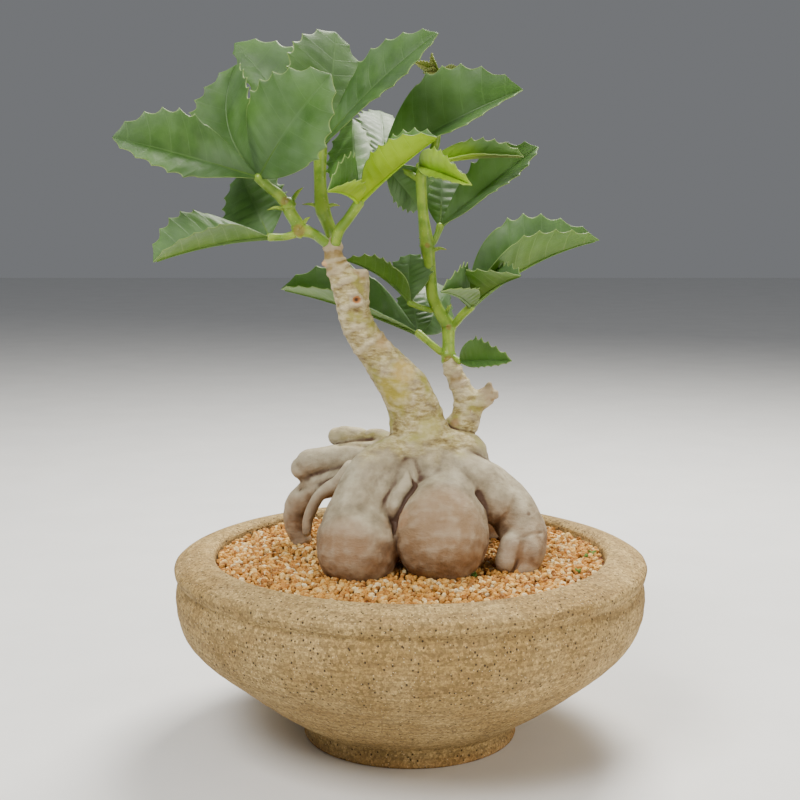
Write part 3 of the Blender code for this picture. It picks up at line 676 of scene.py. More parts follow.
def blade_rows():
    """Where each row meets the margin, as shares of the blade's length."""
    base = np.linspace(0.0, TOOTH_START, BLADE_BASE_ROWS + 1)[:-1]
    teeth = [TOOTH_START + (k + u) * TOOTH_SPAN for k in range(TEETH) for u in TOOTH_STEPS]
    return np.concatenate([base, teeth, BLADE_LAST_ROWS])


def tooth_shape(t):
    """How far the margin stands out and leans forward at each row, as shares of a tooth."""
    place = (t - TOOTH_START) / TOOTH_SPAN
    index = np.clip(np.floor(place), 0, TEETH - 1)
    size = 1.0 - TOOTH_TAPER * index / TEETH
    u = place - index
    climb = (np.clip(u, 0, 1) * 2) ** TOOTH_RISE
    rise = np.where(u <= 0.5, climb, (np.clip(1 - u, 0, 1) * 2) ** TOOTH_FALL)
    toothed = (place >= 0) & (place < TEETH)
    out = np.where(toothed, size * (rise * (1 + TOOTH_VALLEY) - TOOTH_VALLEY), 0.0)
    lean = np.clip(1 - np.abs(u - 0.5) * 2, 0, 1) ** TOOTH_LEAN
    lean = np.where(toothed, size * lean, 0.0)
    return out, lean


class Midrib:
    """The arched line that a leaflet grows along, and the directions about it."""

    def __init__(self, base, tip, turns, arch, sway):
        self.base = np.array(base, dtype=float)
        span = np.array(tip, dtype=float) - self.base
        self.length = np.linalg.norm(span)
        self.along = span / self.length
        self.toward = unit(VIEW_SIDE - self.along * VIEW_SIDE.dot(self.along))
        self.side = np.cross(self.along, self.toward)
        self.right, self.left = (math.radians(angle) for angle in turns)
        self.up = self.turned(0.5 * (self.right + self.left))
        self.shift = self.up * arch + self.side * sway

    def turned(self, angle):
        """The direction across the midrib at a turn about it."""
        return self.side * math.cos(angle) + self.toward * math.sin(angle)

    def points(self, t):
        bow = np.outer(4 * t * (1 - t), self.shift)
        return self.base + np.outer(t, self.along) * self.length + bow


def half_blade(midrib, sign, width, form, phase):
    """Columns of one half, from the midrib to the margin: points, way up, share and marks."""
    t = blade_rows()
    out, lean = tooth_shape(t)
    veins = (t - TOOTH_START) / TOOTH_SPAN
    foot = t - VEIN_LAG * t * (1 - t)
    direction = midrib.turned(midrib.right if sign > 0 else midrib.left)
    normal = unit(np.cross(midrib.along, direction))
    normal = normal if normal.dot(midrib.up) >= 0 else -normal
    scale = min(1.0, width / WIDE_HALF)
    reach = np.maximum(BLADE_LEAST, width * half_width(t, form) + TOOTH_OUT * scale * out)
    reach[-1] = BLADE_TIP
    turn = math.tau * (MARGIN_WAVES * t + phase + (HALF_PHASE if sign > 0 else 0.0))
    columns = []
    for s in BLADE_ACROSS:
        place = foot + (t - foot) * s**VEIN_CURVE
        points = midrib.points(place) + np.outer(reach * s, direction)
        points += np.outer(lean * TOOTH_FORWARD * scale * s**3, midrib.along)
        bulge = 4 * s * (1 - s)
        swell = BLADE_CAMBER * reach * bulge
        swell += VEIN_QUILT * np.cos(math.tau * veins) * bulge * np.sin(np.pi * t)
        swell += MARGIN_WAVE * scale * s**2 * np.sin(turn) * np.sin(np.pi * t)
        lift = (1 - s) ** 3 * midrib.up + (1 - (1 - s) ** 3) * normal
        marks = np.stack([t, np.full_like(t, sign * s), np.zeros_like(t)], axis=1)
        columns.append((points + np.outer(swell, lift), lift, s, marks))
    return columns


def add_leaflet(shape, base, row, phase):
    """A toothed, veined blade in two halves that meet at the midrib, with its rib below.

    A blade's marks are the shares of the way along and, left of the midrib below 0, across.
    """
    tip, (right, left), turns, arch, sway, form = row
    midrib = Midrib(base, tip, turns, arch, sway)
    columns = half_blade(midrib, -1, left, form, phase)[:0:-1]
    columns += half_blade(midrib, 1, right, form, phase)
    upper = []
    lower = []
    for points, lift, s, _ in columns:
        half = BLADE_HALF_THICKNESS * (1 - BLADE_THINNING * s**4)
        upper.append(points + lift * half)
        lower.append(points - lift * half)
    marks = [column[3] for column in columns]
    rings = np.stack(upper + lower[::-1], axis=1)
    slots = [UPPER] * len(columns) + [UNDER] * len(columns)
    shape.rings(rings, np.stack(marks + marks[::-1], axis=1), slots)
    t = np.linspace(*RIB_SPAN, RIB_POINTS)
    points = midrib.points(np.clip(t, 0, 1)) - midrib.up * RIB_DROP
    size = min(1.0, midrib.length / RIB_FULL_LENGTH)
    radii = RIB_THIN + RIB_THICKENING * np.clip(1 - t, 0, 1) ** RIB_TAPER * size
    add_tube(shape, np.column_stack([points, radii]), RIB_SIDES, UNDER)


def add_scale(shape, root, tip, form, slot=0):
    """A thin pointed scale with its middle raised."""
    rise, radii, sides, flat = form
    places = np.array((root, root, tip), dtype=float)
    places[1] = 0.5 * (places[0] + places[2]) + (0, 0, rise)
    path = smooth_path(np.column_stack([places, radii]), SCALE_STEP)
    add_tube(shape, path, sides, slot, flat)


def leaf_shape(name, order):
    stalk = LEAF_STALKS[name]
    shape = Shape()
    add_tube(shape, domed(smooth_path(stalk, STALK_STEP)), STALK_SIDES, STALK)
    for k, row in enumerate(LEAFLETS[name]):
        phase = (LEAF_PHASE * order + LEAFLET_PHASE * k) % 1.0
        add_leaflet(shape, stalk[-1][:3], row, phase)
    for root, tip in STIPULES.get(name, ()):
        add_scale(shape, root, tip, STIPULE_FORM, STALK)
    return shape


# Rings on the shoots: the height of each ring and how far it stands out.
SHOOT_RINGS = {
    "shoot_left": ((236.8, 0.5), (239.0, 0.35), (248.0, 0.5)),
    "shoot_right": ((175.5, 0.5), (178.5, 0.5), (191.5, 0.45), (229.5, 0.4), (262.0, 0.35)),
}
RING_WIDTH = 0.6
SHOOT_STEP = 0.6
SHOOT_SIDES = 24


def shoot_shape(name):
    shape = Shape()
    path = domed(smooth_path(SHOOT_PATHS[name], SHOOT_STEP))
    for height, size in SHOOT_RINGS[name]:
        path[:, 3] += size * np.exp(-(((path[:, 2] - height) / RING_WIDTH) ** 2))
    add_tube(shape, path, SHOOT_SIDES, 0)
    for root, tip in STIPULES[name]:
        add_scale(shape, root, tip, STIPULE_FORM)
    return shape


def pot_profile():
    rows = []
    for section in POT_SECTIONS:
        path = smooth_path(section, POT_ROW) if len(section) > 2 else straight(section)
        rows += path.tolist() if not rows else path.tolist()[1:]
    return np.array(rows)


def straight(section):
    start, end = np.array(section)
    count = max(2, round(np.linalg.norm(end - start) / (2 * POT_ROW)))
    return start + (end - start) * np.linspace(0, 1, count)[:, None]


def thrown_relief(radius, height, turn):
    """The potter's finger lines and the clay's unevenness, in millimetres."""
    climb = height + THROWN_CLIMB * turn / math.tau
    lines = 0.16 * noise.noise(Vector((0.0, 3.0, climb / 1.3)))
    lines += 0.20 * noise.noise(Vector((5.0, 0.0, climb / 3.4)))
    around = Vector((1.4 * math.cos(turn), 1.4 * math.sin(turn), height / 22))
    body = 0.45 * noise.noise(around) + 0.16 * noise.noise(around * 4)
    fade = step_up(radius, THROWN_START, THROWN_FULL)
    return fade * (body + (lines if radius > THROWN_WALL else 0.3 * lines))


def pot_mesh():
    profile = pot_profile()
    slopes = np.gradient(profile, axis=0)
    slopes /= np.maximum(1e-9, np.linalg.norm(slopes, axis=1))[:, None]
    rings = []
    for (radius, height), (run, rise) in zip(profile[1:-1], slopes[1:-1]):
        ring = []
        for k in range(POT_STEPS):
            turn = math.tau * k / POT_STEPS
            relief = thrown_relief(radius, height, turn) if height > POT_FLAT else 0.0
            r = radius - rise * relief
            z = height + run * relief
            ring.append((r * math.cos(turn), r * math.sin(turn), z))
        rings.append(ring)
    return ringed_mesh("pot", rings)


def drain(obj):
    """Cut the drain holes through the pot's floor."""
    for k in range(DRAIN_HOLES):
        turn = math.tau * (k + 0.5) / DRAIN_HOLES
        x = DRAIN_CIRCLE * math.cos(turn) * MM
        y = DRAIN_CIRCLE * math.sin(turn) * MM
        bpy.ops.mesh.primitive_cylinder_add(
            vertices=DRAIN_SIDES, radius=DRAIN_RADIUS * MM, depth=DRAIN_CUT * MM,
            location=(x, y, DRAIN_MIDDLE * MM),
        )
        cutter = bpy.context.object
        trim = obj.modifiers.new("drain", "BOOLEAN")
        trim.operation = "DIFFERENCE"
        trim.object = cutter
        trim.solver = "EXACT"
        mesh = evaluated_mesh(obj)
        obj.modifiers.clear()
        obj.data = outward(mesh)
        bpy.data.objects.remove(cutter)


def grit_height(x, y):
    """Level of the grit's surface, in millimetres."""
    share = min(1.0, math.hypot(x, y) / GRIT_RADIUS)
    return GRIT_LEVEL + GRIT_CROWN * (1 - share**2) + uneven(Vector((x, y, 0)), GRIT_WAVE)


def rounded_cube():
    """Points and quads of a small pebble with 24 faces."""
    bpy.ops.mesh.primitive_cube_add(size=2)
    cube = bpy.context.object
    work = bmesh.new()
    work.from_mesh(cube.data)
    bmesh.ops.subdivide_edges(work, edges=work.edges, cuts=1, use_grid_fill=True)
    points = np.array([v.co.normalized() for v in work.verts])
    faces = [tuple(v.index for v in f.verts) for f in work.faces]
    work.free()
    bpy.data.objects.remove(cube)
    return points, faces


def turned_matrix(draw):
    """A random turn, as a 3 by 3 matrix."""
    a, b, c = (draw.uniform(0, math.tau) for _ in range(3))
    ca, sa, cb, sb, cc, sc = (f(x) for x in (a, b, c) for f in (math.cos, math.sin))
    about_z = np.array(((ca, -sa, 0), (sa, ca, 0), (0, 0, 1)))
    about_x = np.array(((1, 0, 0), (0, cb, -sb), (0, sb, cb)))
    again_z = np.array(((cc, -sc, 0), (sc, cc, 0), (0, 0, 1)))
    return about_z @ about_x @ again_z


def grain_places(wood, draw):
    """Centres, sizes and tones of the granules that show round the wood."""
    tree = BVHTree.FromObject(wood, bpy.context.evaluated_depsgraph_get())
    places = []
    for i in range(int(2 * GRIT_RADIUS / (GRAIN_PITCH * GRAIN_ROWS))):
        for j in range(int(2 * GRIT_RADIUS / GRAIN_PITCH) + 1):
            x = -GRIT_RADIUS + (j + 0.5 * (i % 2)) * GRAIN_PITCH
            y = -GRIT_RADIUS + i * GRAIN_PITCH * GRAIN_ROWS
            x += draw.uniform(-GRAIN_JITTER, GRAIN_JITTER) * GRAIN_PITCH
            y += draw.uniform(-GRAIN_JITTER, GRAIN_JITTER) * GRAIN_PITCH
            size = draw.uniform(*GRAIN_SIZES)
            lift = draw.uniform(*GRAIN_LIFTS)
            tone = draw.random()
            if math.hypot(x, y) > GRIT_RADIUS - size:
                continue
            centre = Vector((x, y, grit_height(x, y) + lift))
            found, normal, _, away = tree.find_nearest(centre * MM)
            inside = (centre * MM - found).dot(normal) < 0
            if inside and away > 0.5 * size * MM:
                continue
            places.append((centre, size, tone))
    return places


def grain_shapes(wood):
    """The granules, shared between several shapes by turns of the pot."""
    draw = random.Random(GRAIN_SEED)
    points, faces = rounded_cube()
    shapes = [Shape() for _ in range(GRAIN_PARTS)]
    for centre, size, tone in grain_places(wood, draw):
        stretch = np.array([draw.uniform(*GRAIN_STRETCH) for _ in range(3)])
        rough = np.array([draw.uniform(*GRAIN_ROUGHNESS) for _ in points])
        corners = (points * rough[:, None] * stretch * size) @ turned_matrix(draw).T
        share = (math.atan2(centre.y, centre.x) / math.tau) % 1.0
        shape = shapes[min(GRAIN_PARTS - 1, int(share * GRAIN_PARTS))]
        marks = np.tile((tone, draw.random(), 0.0), (len(points), 1))
        shape.add(corners + np.array(centre), marks, faces, [0] * len(faces))
    return shapes


# Green tufts that came up in the grit: x, y and size. Their leaflets' turns, reaches and heights
# are drawn at random.
MOSS_TUFTS = ((86, 0, 2.2), (75, -33, 1.8), (28, -42, 1.9), (82, -6, 1.4), (-60, 52, 1.8))
MOSS_LEAFLETS = 9
MOSS_TURNS = (-0.3, 0.3)
MOSS_REACHES = (0.5, 1.0)
MOSS_HEIGHTS = (1.0, 2.6)


def moss_shape():
    """Small tufts of pointed leaflets, standing in the grit."""
    draw = random.Random(GRAIN_SEED)
    shape = Shape()
    for x, y, size in MOSS_TUFTS:
        root = np.array((x, y, grit_height(x, y)))
        for k in range(MOSS_LEAFLETS):
            turn = math.tau * k / MOSS_LEAFLETS + draw.uniform(*MOSS_TURNS)
            reach = size * draw.uniform(*MOSS_REACHES)
            rise = draw.uniform(*MOSS_HEIGHTS)
            tip = root + (reach * math.cos(turn), reach * math.sin(turn), rise)
            add_scale(shape, root, tip, MOSS_FORM)
    return shape


def bed_mesh():
    """The uneven bed under the loose top granules."""
    rings = []
    for radius in np.linspace(GRIT_RADIUS + 0.2, 1.0, BED_RINGS):
        ring = []
        for k in range(BED_STEPS):
            turn = math.tau * k / BED_STEPS
            x, y = radius * math.cos(turn), radius * math.sin(turn)
            bumps = uneven(Vector((x, y, 4.0)), BED_BUMPS)
            ring.append((x, y, grit_height(x, y) - BED_DEPTH + bumps))
        rings.append(ring)
    wall = [[(x, y, GRIT_BOTTOM) for x, y, _ in rings[0]]]
    return ringed_mesh("grit_bed", wall + rings)


class Nodes:
    """A material's node tree, built call by call."""

    def __init__(self, name):
        self.material = bpy.data.materials.new(name)
        self.material.use_nodes = True
        self.tree = self.material.node_tree
        self.shader = self.tree.nodes["Principled BSDF"]
        self.place = self.tree.nodes.new("ShaderNodeTexCoord").outputs["Object"]

    def add(self, kind, settings=(), **inputs):
        node = self.tree.nodes.new("ShaderNode" + kind)
        for key, value in dict(settings).items():
            setattr(node, key, value)
        self.fill(node, inputs)
        return node

    def fill(self, node, inputs):
        for key, value in inputs.items():
            self.put(node.inputs[key.replace("_", " ")], value)

    def put(self, socket, value):
        if isinstance(value, bpy.types.NodeSocket):
            self.tree.links.new(value, socket)
        elif isinstance(value, tuple) and len(value) == 3 and len(socket.default_value) == 4:
            socket.default_value = (*value, 1.0)
        else:
            socket.default_value = value

    def mark(self):
        """The three numbers that the mesh keeps for each point."""
        found = self.add("Attribute", {"attribute_name": "mark"})
        return self.add("SeparateXYZ", Vector=found.outputs["Vector"]).outputs

    def maths(self, operation, a, b=0.0, c=0.0):
        node = self.add("Math", {"operation": operation})
        for socket, value in zip(node.inputs, (a, b, c)):
            self.put(socket, value)
        return node.outputs[0]

    def plus(self, a, b):
        return self.maths("ADD", a, b)

    def times(self, a, b):
        return self.maths("MULTIPLY", a, b)

    def stretched(self, x, y, z):
        node = self.add("Mapping", Vector=self.place)
        node.inputs["Scale"].default_value = (x, y, z)
        return node.outputs[0]

    def cloud(self, size, detail=3.0, rough=0.55, vector=None):
        """Noise from 0 to 1, with features of a size in millimetres."""
        node = self.add("TexNoise", Vector=vector or self.place, Scale=1 / (size * MM),
                        Detail=detail, Roughness=rough)
        return node.outputs["Fac"]

    def cells(self, size, feature="F1", output="Distance", vector=None):
        """Cells of a size in millimetres: distances in them, or a colour for each."""
        node = self.add("TexVoronoi", {"feature": feature}, Vector=vector or self.place,
                        Scale=1 / (size * MM))
        return node.outputs[output]

    def ramp(self, value, *stops):
        """A colour or grey for each value, from pairs of position and colour."""
        node = self.add("ValToRGB", Fac=value)
        elements = node.color_ramp.elements
        while len(elements) < len(stops):
            elements.new(0.5)
        for element, (position, colour) in zip(elements, stops):
            element.position = position
            colour = colour if isinstance(colour, tuple) else (colour,) * 3
            element.color = (*colour, 1.0)
        return node.outputs["Color"]

    def between(self, value, low, high):
        """0 on low's side, 1 on high's side, smooth between them."""
        node = self.add("MapRange", {"interpolation_type": "SMOOTHSTEP"},
                        Value=value, From_Min=low, From_Max=high)
        return node.outputs["Result"]

    def mix(self, share, a, b, blend="MIX"):
        node = self.add("Mix", {"data_type": "RGBA", "blend_type": blend})
        for socket, value in zip((node.inputs[0], *node.inputs[6:8]), (share, a, b)):
            self.put(socket, value)
        return node.outputs[2]

    def near(self, centre, radius):
        """1 at a place in millimetres, falling to 0 at the radius."""
        node = self.add("VectorMath", {"operation": "DISTANCE"})
        self.put(node.inputs[0], self.place)
        node.inputs[1].default_value = [value * MM for value in centre]
        return self.between(node.outputs["Value"], radius * MM, 0.55 * radius * MM)

    def height(self):
        return self.add("SeparateXYZ", Vector=self.place).outputs["Z"]

    def relief(self, *layers):
        """A normal for layers of relief, each a value and its depth in millimetres."""
        below = {}
        for value, depth in layers:
            node = self.add("Bump", Height=value, Distance=depth * MM, **below)
            below = {"Normal": node.outputs["Normal"]}
        return node.outputs["Normal"]

    def finish(self, **inputs):
        self.fill(self.shader, inputs)
        return self.material


def stoneware_material():
    n = Nodes("speckled_stoneware")
    lines = n.cloud(1.7, 4.0, 0.6, n.stretched(0.05, 0.05, 1.0))
    sand = n.cloud(0.8, 2.0)
    clay = n.ramp(n.cloud(26, 4.0), (0.4, (0.36, 0.24, 0.085)), (0.6, (0.48, 0.34, 0.14)))
    lined = n.mix(n.between(lines, 0.42, 0.56), n.mix(0.38, clay, (0.20, 0.12, 0.045)), clay)
    ragged = n.plus(n.height(), n.times(n.cloud(5), -6 * MM))
    rust = n.times(n.between(ragged, 3 * MM, -4 * MM), 0.45)
    warm = n.mix(rust, lined, (0.50, 0.26, 0.08))
    grog = n.ramp(n.cells(1.25, output="Color"), (0.15, 0.30), (0.5, 0.52), (0.9, 0.80))
    grained = n.mix(0.75, warm, grog, "OVERLAY")
    sanded = n.mix(n.between(sand, 0.38, 0.6), n.mix(0.45, grained, (0.15, 0.09, 0.045)), grained)
    specks = n.between(n.cells(2.5, vector=n.stretched(1, 1, 0.8)), 0.23, 0.12)
    dark = n.mix(specks, sanded, (0.055, 0.035, 0.02))
    chips = n.between(n.cells(1.9, vector=n.stretched(1.1, 0.9, 1)), 0.17, 0.06)
    pale = n.mix(chips, dark, (0.70, 0.55, 0.32))
    return n.finish(Base_Color=pale, Roughness=n.ramp(sand, (0.3, 0.75), (0.7, 0.95)),
                    Normal=n.relief((sand, 0.35), (lines, 0.7), (n.cells(1.25), 0.18)),
                    Specular_IOR_Level=0.25)


def granule_material():
    n = Nodes("fired_clay_granules")
    tone, shade, _ = n.mark()
    colour = n.ramp(tone, (0.0, (0.18, 0.06, 0.008)), (0.18, (0.40, 0.15, 0.02)),
                    (0.42, (0.56, 0.25, 0.035)), (0.66, (0.68, 0.37, 0.08)),
                    (0.85, (0.80, 0.56, 0.20)), (1.0, (0.90, 0.80, 0.50)))
    spotted = n.mix(0.4, colour, (0.86, 0.58, 0.20))
    mottled = n.mix(n.between(n.cloud(0.9), 0.4, 0.7), colour, spotted)
    dusty = n.mix(n.times(shade, 0.4), mottled, (0.26, 0.09, 0.012))
    return n.finish(Base_Color=dusty, Roughness=0.8, Normal=n.relief((n.cloud(0.5), 0.22)),
                    Specular_IOR_Level=0.35)


def moss_material():
    n = Nodes("moss")
    colour = n.ramp(n.cloud(1.5), (0.3, (0.05, 0.14, 0.015)), (0.7, (0.16, 0.30, 0.05)))
    return n.finish(Base_Color=colour, Roughness=0.7, Normal=n.relief((n.cloud(0.5), 0.1)))


def crumbly_material(name, size, colour, share, depth):
    """Loose crumbs of a size and a relief of a depth, with their colour broken up by a share."""
    n = Nodes(name)
    tinted = n.mix(share, colour, n.cells(size, output="Color"), "MULTIPLY")
    return n.finish(Base_Color=tinted, Roughness=0.95, Normal=n.relief((n.cells(size), depth)))


def screen_material():
    n = Nodes("screen_plastic")
    scuffs = n.cloud(6, 3.0, 0.6, n.stretched(1, 6, 1))
    colour = n.ramp(scuffs, (0.3, (0.035, 0.045, 0.04)), (0.8, (0.08, 0.09, 0.085)))
    return n.finish(Base_Color=colour, Roughness=n.ramp(scuffs, (0.3, 0.45), (0.7, 0.65)),
                    Normal=n.relief((scuffs, 0.05)))


# Stains and scars on the wood: place, radius and colour.
WOOD_STAINS = (
    ((-8, -14, 164), 10.0, (0.36, 0.30, 0.03)),
    ((-3, -13, 174), 7.0, (0.46, 0.33, 0.09)),
    ((8, -12, 147), 8.0, (0.38, 0.34, 0.10)),
    ((-35, -8, 229), 8.5, (0.20, 0.115, 0.03)),
    ((-34, -8, 221), 8.5, (0.27, 0.18, 0.05)),
    ((-39, -11, 222), 2.2, (0.62, 0.24, 0.04)),
    ((-23, -6, 218), 7.0, (0.27, 0.17, 0.075)),
    ((38, 5, 162), 8.0, (0.22, 0.115, 0.03)),
    ((-24.5, -14, 206), 2.7, (0.45, 0.15, 0.04)),
    ((53, -24, 110), 1.5, (0.10, 0.05, 0.025)),
    ((13, -44, 108), 24.0, (0.29, 0.175, 0.088)),
    ((44, -36, 90), 13.0, (0.20, 0.11, 0.05)),
    ((-6, -40, 112), 7.0, (0.36, 0.20, 0.10)),
    ((-28, -44, 100), 16.0, (0.30, 0.185, 0.10)),
    ((22, 5, 167), 5.5, (0.21, 0.125, 0.035)),
    ((20, -1, 149), 4.0, (0.30, 0.16, 0.07)),
    ((-14, -8, 186), 7.0, (0.40, 0.27, 0.12)),
)
STAIN_SHARE = 0.75


def bark_material():
    """Brown lobes painted grey where the light falls, and cream wood with green on the trunk."""
    n = Nodes("caudex_bark")
    height = n.height()
    hollow = n.mark()[0]
    facing = n.add("SeparateXYZ", Vector=n.add("NewGeometry").outputs["Normal"]).outputs["Z"]
    grey = n.ramp(n.cloud(8, 5.0, 0.6), (0.34, (0.23, 0.19, 0.12)), (0.5, (0.335, 0.285, 0.19)),
                  (0.66, (0.45, 0.40, 0.285)))
    brown = n.ramp(n.cloud(6, 5.0, 0.6), (0.34, (0.13, 0.062, 0.026)), (0.5, (0.20, 0.108, 0.05)),
                   (0.66, (0.29, 0.175, 0.09)))
    # Painted light: the higher and up-facing parts of the lobes are painted grey, and the rest
    # stays brown.
    lit = n.plus(n.times(facing, 22 * MM), height)
    lit = n.plus(lit, n.times(n.cloud(11, 4.0), 14 * MM))
    lobes = n.mix(n.between(lit, 100 * MM, 142 * MM), brown, grey)
    cream = n.ramp(n.cloud(3, 6.0, 0.7, n.stretched(0.45, 0.45, 1.2)), (0.37, (0.15, 0.10, 0.032)),
                   (0.5, (0.35, 0.28, 0.11)), (0.62, (0.58, 0.51, 0.29)))
    green = n.mix(n.between(n.cloud(10, 2.0), 0.48, 0.7), cream, (0.31, 0.285, 0.06))
    joined = n.plus(height, n.times(n.cloud(9, 4.0), 18 * MM))
    wood = n.mix(n.between(joined, 140 * MM, 153 * MM), lobes, green)
    flecks = n.between(n.cloud(1.6, 4.0, 0.7, n.stretched(1, 1, 0.5)), 0.63, 0.71)
    flecks = n.times(flecks, n.between(height, 140 * MM, 152 * MM))
    coloured = n.mix(n.times(flecks, 0.75), wood, (0.23, 0.105, 0.035))
    for centre, radius, colour in WOOD_STAINS:
        coloured = n.mix(n.times(n.near(centre, radius), STAIN_SHARE), coloured, colour)
    # Painted shade: the hollows of the wood are darkened to a deep brown.
    shaded = n.mix(n.between(hollow, 0.06, 0.75), coloured, (0.075, 0.035, 0.018))
    # Raised ridges, where a point stands above its surroundings, are painted paler, towards cream.
    ridges_paled = n.mix(n.times(n.between(hollow, -0.05, -0.5), 0.35), shaded, (0.66, 0.58, 0.43))
    scales = n.cloud(3.0, 4.0, 0.6, n.stretched(0.6, 0.6, 1.4))
    return n.finish(Base_Color=ridges_paled, Roughness=n.ramp(n.cloud(4), (0.3, 0.5), (0.7, 0.75)),
                    Normal=n.relief((n.cloud(1.0, 4.0, 0.65), 0.28), (scales, 0.45)),
                    Specular_IOR_Level=0.35)


# Brown node scars on the shoots: place and radius.
STEM_SCARS = (
    ((-35, -9, 231), 3.2),
    ((-50, -13, 237), 3.6),
    ((-56, -14, 250), 2.6),
    ((18, 8, 176), 3.4),
    ((18, 11, 191.5), 1.8),
    ((8, 14, 229.5), 1.8),
)
SCAR_SHARE = 0.65


def stem_material():
    n = Nodes("green_stem")
    green = n.ramp(n.cloud(7), (0.4, (0.15, 0.27, 0.018)), (0.6, (0.27, 0.40, 0.04)))
    dots = n.between(n.cells(1.5, vector=n.stretched(1, 1, 0.5)), 0.16, 0.08)
    dotted = n.mix(n.times(dots, 0.5), green, (0.55, 0.60, 0.25))
    for centre, radius in STEM_SCARS:
        dotted = n.mix(n.times(n.near(centre, radius), SCAR_SHARE), dotted, (0.25, 0.14, 0.03))
    grooves = n.cloud(1.4, 3.0, 0.6, n.stretched(1, 1, 0.3))
    return n.finish(Base_Color=dotted, Roughness=0.42, Normal=n.relief((grooves, 0.12)),
                    Subsurface_Weight=0.15, Subsurface_Scale=2 * MM)


# Where the sun falls on single leaves: place, radius and colour.
WHITE_GLARE = ((-1, 6, 281), 24.0, (0.72, 0.86, 0.64))
GREEN_GLARE = ((19, -9, 260), 24.0, (0.50, 0.72, 0.03))

# Faces of the leaves: darker and paler tone, vein colour and its share, share of bloom, share
# of the light that comes through, and glare.
BLADE_FACES = {
    "leaf_upper": (
        (0.05, 0.122, 0.023), (0.09, 0.198, 0.04), (0.17, 0.32, 0.09), 0.35, 0.3, 0.3, None,
    ),
    "leaf_under": (
        (0.085, 0.19, 0.022), (0.135, 0.26, 0.036), (0.30, 0.42, 0.12), 0.6, 0.1, 0.3, None,
    ),
    "leaf_sunlit_upper": (
        (0.055, 0.14, 0.022), (0.10, 0.22, 0.04), (0.4, 0.6, 0.25), 0.4, 0.2, 0.3, WHITE_GLARE,
    ),
    "leaf_sunlit_under": (
        (0.40, 0.60, 0.012), (0.56, 0.78, 0.025), (0.55, 0.72, 0.10), 0.5, 0.0, 0.5, None,
    ),
    "leaf_dappled_upper": (
        (0.055, 0.13, 0.022), (0.1, 0.205, 0.036), (0.17, 0.32, 0.09), 0.3, 0.2, 0.3, GREEN_GLARE,
    ),
    "leaf_dappled_under": (
        (0.13, 0.16, 0.035), (0.20, 0.23, 0.05), (0.30, 0.34, 0.12), 0.6, 0.1, 0.3, GREEN_GLARE,
    ),
    "leaf_young": (
        (0.16, 0.17, 0.03), (0.27, 0.24, 0.05), (0.36, 0.34, 0.10), 0.5, 0.1, 0.3, None,
    ),
}
COMMON_FACES = ("leaf_upper", "leaf_under")
OWN_FACES = {
    "leaf_lit": ("leaf_sunlit_upper", "leaf_sunlit_under"),
    "leaf_top": ("leaf_dappled_upper", "leaf_dappled_under"),
}
LEAF_LIGHT = (0.40, 0.65, 0.05)
LEAF_BLOOM = (0.27, 0.38, 0.25)
LEAF_MARGIN = (0.42, 0.55, 0.18)


def blade_veins(n):
    """How far across the blade a place is, and the veins: midrib, one to a tooth, fine net."""
    t, s, _ = n.mark()
    side = n.maths("ABSOLUTE", s)
    phased = n.maths("DIVIDE", n.maths("SUBTRACT", t, TOOTH_START), TOOTH_SPAN)
    wobble = n.maths("MULTIPLY_ADD", n.cloud(9, 1.0), 0.16, -0.08)
    fraction = n.maths("FRACT", n.plus(n.plus(phased, 10.0), wobble))
    off_vein = n.maths("ABSOLUTE", n.maths("SUBTRACT", fraction, 0.5))
    lateral = n.between(off_vein, n.maths("MULTIPLY_ADD", side, -0.03, 0.055), 0.008)
    midrib = n.between(side, 0.05, 0.015)
    fine = n.between(n.cells(2.6, feature="DISTANCE_TO_EDGE"), 0.07, 0.01)
    veins = n.maths("MAXIMUM", midrib, n.times(lateral, 0.6))
    return side, n.maths("MAXIMUM", veins, n.times(fine, 0.2))


def blade_material(name):
    """A leaf's face: cloudy green with paler veins, a fine pale margin and some bloom."""
    low, high, vein, vein_share, bloom, through_share, glare = BLADE_FACES[name]
    n = Nodes(name)
    side, veins = blade_veins(n)
    tone = n.ramp(n.cloud(18, 4.0), (0.4, low), (0.6, high))
    if glare:
        centre, radius, bright = glare
        tone = n.mix(n.near(centre, radius), tone, bright)
    veined = n.mix(n.times(veins, vein_share), tone, vein)
    dusted = n.times(n.between(n.cloud(22), 0.3, 0.75), bloom)
    margin = n.times(n.between(side, 0.978, 0.996), 0.6)
    edged = n.mix(margin, n.mix(dusted, veined, LEAF_BLOOM), LEAF_MARGIN)
    relief = n.relief((n.times(veins, -1.0), 0.10), (n.cloud(0.9, 2.0), 0.05))
    face = n.finish(Base_Color=edged, Roughness=n.ramp(n.cloud(3), (0.3, 0.40), (0.7, 0.52)),
                    Normal=relief, Specular_IOR_Level=0.4)
    through = n.add("BsdfTranslucent", Color=n.mix(0.6, edged, LEAF_LIGHT))
    joined = n.add("MixShader", Fac=through_share)
    n.put(joined.inputs[1], n.shader.outputs[0])
    n.put(joined.inputs[2], through.outputs[0])
    n.put(n.tree.nodes["Material Output"].inputs["Surface"], joined.outputs[0])
    return face


def floor_material():
    n = Nodes("pale_floor")
    tone = n.ramp(n.cloud(60), (0.3, (0.78, 0.78, 0.77)), (0.7, (0.82, 0.82, 0.81)))
    return n.finish(Base_Color=tone, Roughness=0.9)


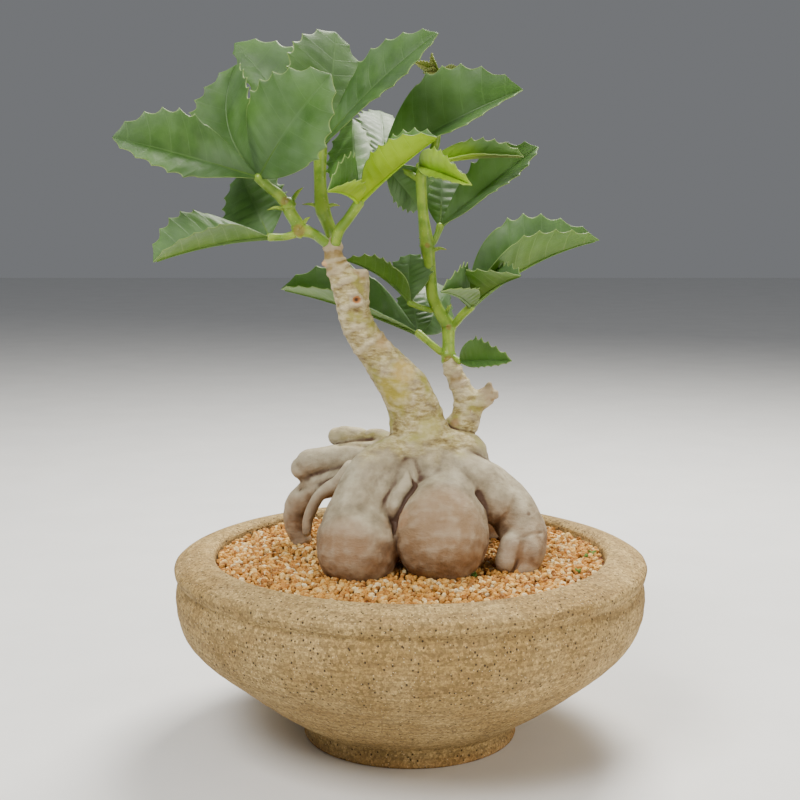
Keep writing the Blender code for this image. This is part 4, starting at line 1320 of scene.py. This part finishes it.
def build_plant():
    """The wood, the shoots with their tip, and the leaves. It returns the wood."""
    bark = bark_material()
    stem = stem_material()
    faces = {name: blade_material(name) for name in BLADE_FACES}
    wood = piece("caudex_and_trunk_bark", roughened_wood(), ["caudex_and_trunk"], [bark])
    for name in SHOOT_PATHS:
        mesh = shoot_shape(name).mesh(name + "_fine")
        piece(name + "_fine", mesh, [name], [stem])
    tip = Shape()
    for k, row in enumerate(TIP_LEAFLETS):
        add_leaflet(tip, TIP_BASE, row, TIP_PHASE * k)
    bronze = faces["leaf_young"]
    piece("unfolding_tip", tip.mesh("unfolding_tip"), [], [bronze, bronze])
    for order, name in enumerate(LEAFLETS):
        mesh = leaf_shape(name, order).mesh(name + "_fine")
        upper, under = OWN_FACES.get(name, COMMON_FACES)
        materials = [faces[upper], faces[under], stem]
        piece(name + "_fine", mesh, [name], materials)
    return wood


def build_pot(wood):
    """The bowl and what it holds, with granules round the wood."""
    pot = piece("pot_thrown", pot_mesh(), ["pot"], [stoneware_material()])
    drain(pot)
    granules = granule_material()
    # Painted shade: the bed under the loose granules is dark brown, standing in for the shade in
    # the gaps between them.
    gap_shade = crumbly_material("grit_bed", 2.4, (0.20, 0.075, 0.025), 0.35, 0.9)
    piece("grit_bed", bed_mesh(), ["grit_dressing"], [gap_shade])
    for k, shape in enumerate(grain_shapes(wood)):
        name = f"granules_{k}"
        piece(name, shape.mesh(name, smooth=False), ["grit_dressing"], [granules])
    piece("moss_tufts", moss_shape().mesh("moss_tufts"), [], [moss_material()])
    dress("potting_mix", crumbly_material("potting_mix", 3.0, (0.10, 0.065, 0.04), 0.5, 1.2))
    dress("drainage_screen", screen_material())


def dress(name, material):
    """Give a node of the frame its own material."""
    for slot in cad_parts[name].material_slots:
        slot.material = material


def add_camera():
    camera = placed("camera", bpy.data.cameras.new("camera"))
    camera.data.lens = CAMERA_LENS
    camera.location = CAMERA_PLACE
    camera.rotation_euler = (math.radians(CAMERA_TILT), 0, 0)
    bpy.context.scene.camera = camera


# Each light: place and aim in metres, width, power in watts and colour.
LIGHTS = (
    ((-0.50, -0.70, 1.15), (0.0, 0.0, 0.18), 0.6, 19.0, (1.0, 0.98, 0.94)),
    ((0.25, 0.55, 1.05), (0.0, 0.0, 0.22), 0.5, 26.0, (1.0, 0.97, 0.90)),
    ((0.95, -0.75, 0.55), (0.0, 0.0, 0.18), 0.8, 8.0, (1.0, 0.90, 0.77)),
)
SKY_COLOUR = (0.92, 0.95, 1.0, 1.0)
SKY_STRENGTH = 0.19


def add_lights():
    for place, aim, width, power, colour in LIGHTS:
        lamp = placed("softbox", bpy.data.lights.new("softbox", "AREA"))
        lamp.data.size = width
        lamp.data.energy = power
        lamp.data.color = colour
        lamp.location = place
        lamp.rotation_mode = "QUATERNION"
        lamp.rotation_quaternion = (Vector(aim) - Vector(place)).to_track_quat("-Z", "Y")
    world = bpy.data.worlds.new("studio")
    world.use_nodes = True
    background = world.node_tree.nodes["Background"]
    background.inputs["Color"].default_value = SKY_COLOUR
    background.inputs["Strength"].default_value = SKY_STRENGTH
    bpy.context.scene.world = world


# The floor's width, and how far it lies below the pot, in metres.
FLOOR_WIDTH = 8.0
FLOOR_DROP = 0.0002


def add_floor():
    bpy.ops.mesh.primitive_plane_add(size=FLOOR_WIDTH, location=(0, 0, -FLOOR_DROP))
    floor = bpy.context.object
    floor.name = "floor"
    floor.data.materials.append(floor_material())


add_camera()
add_lights()
add_floor()
build_pot(build_plant())
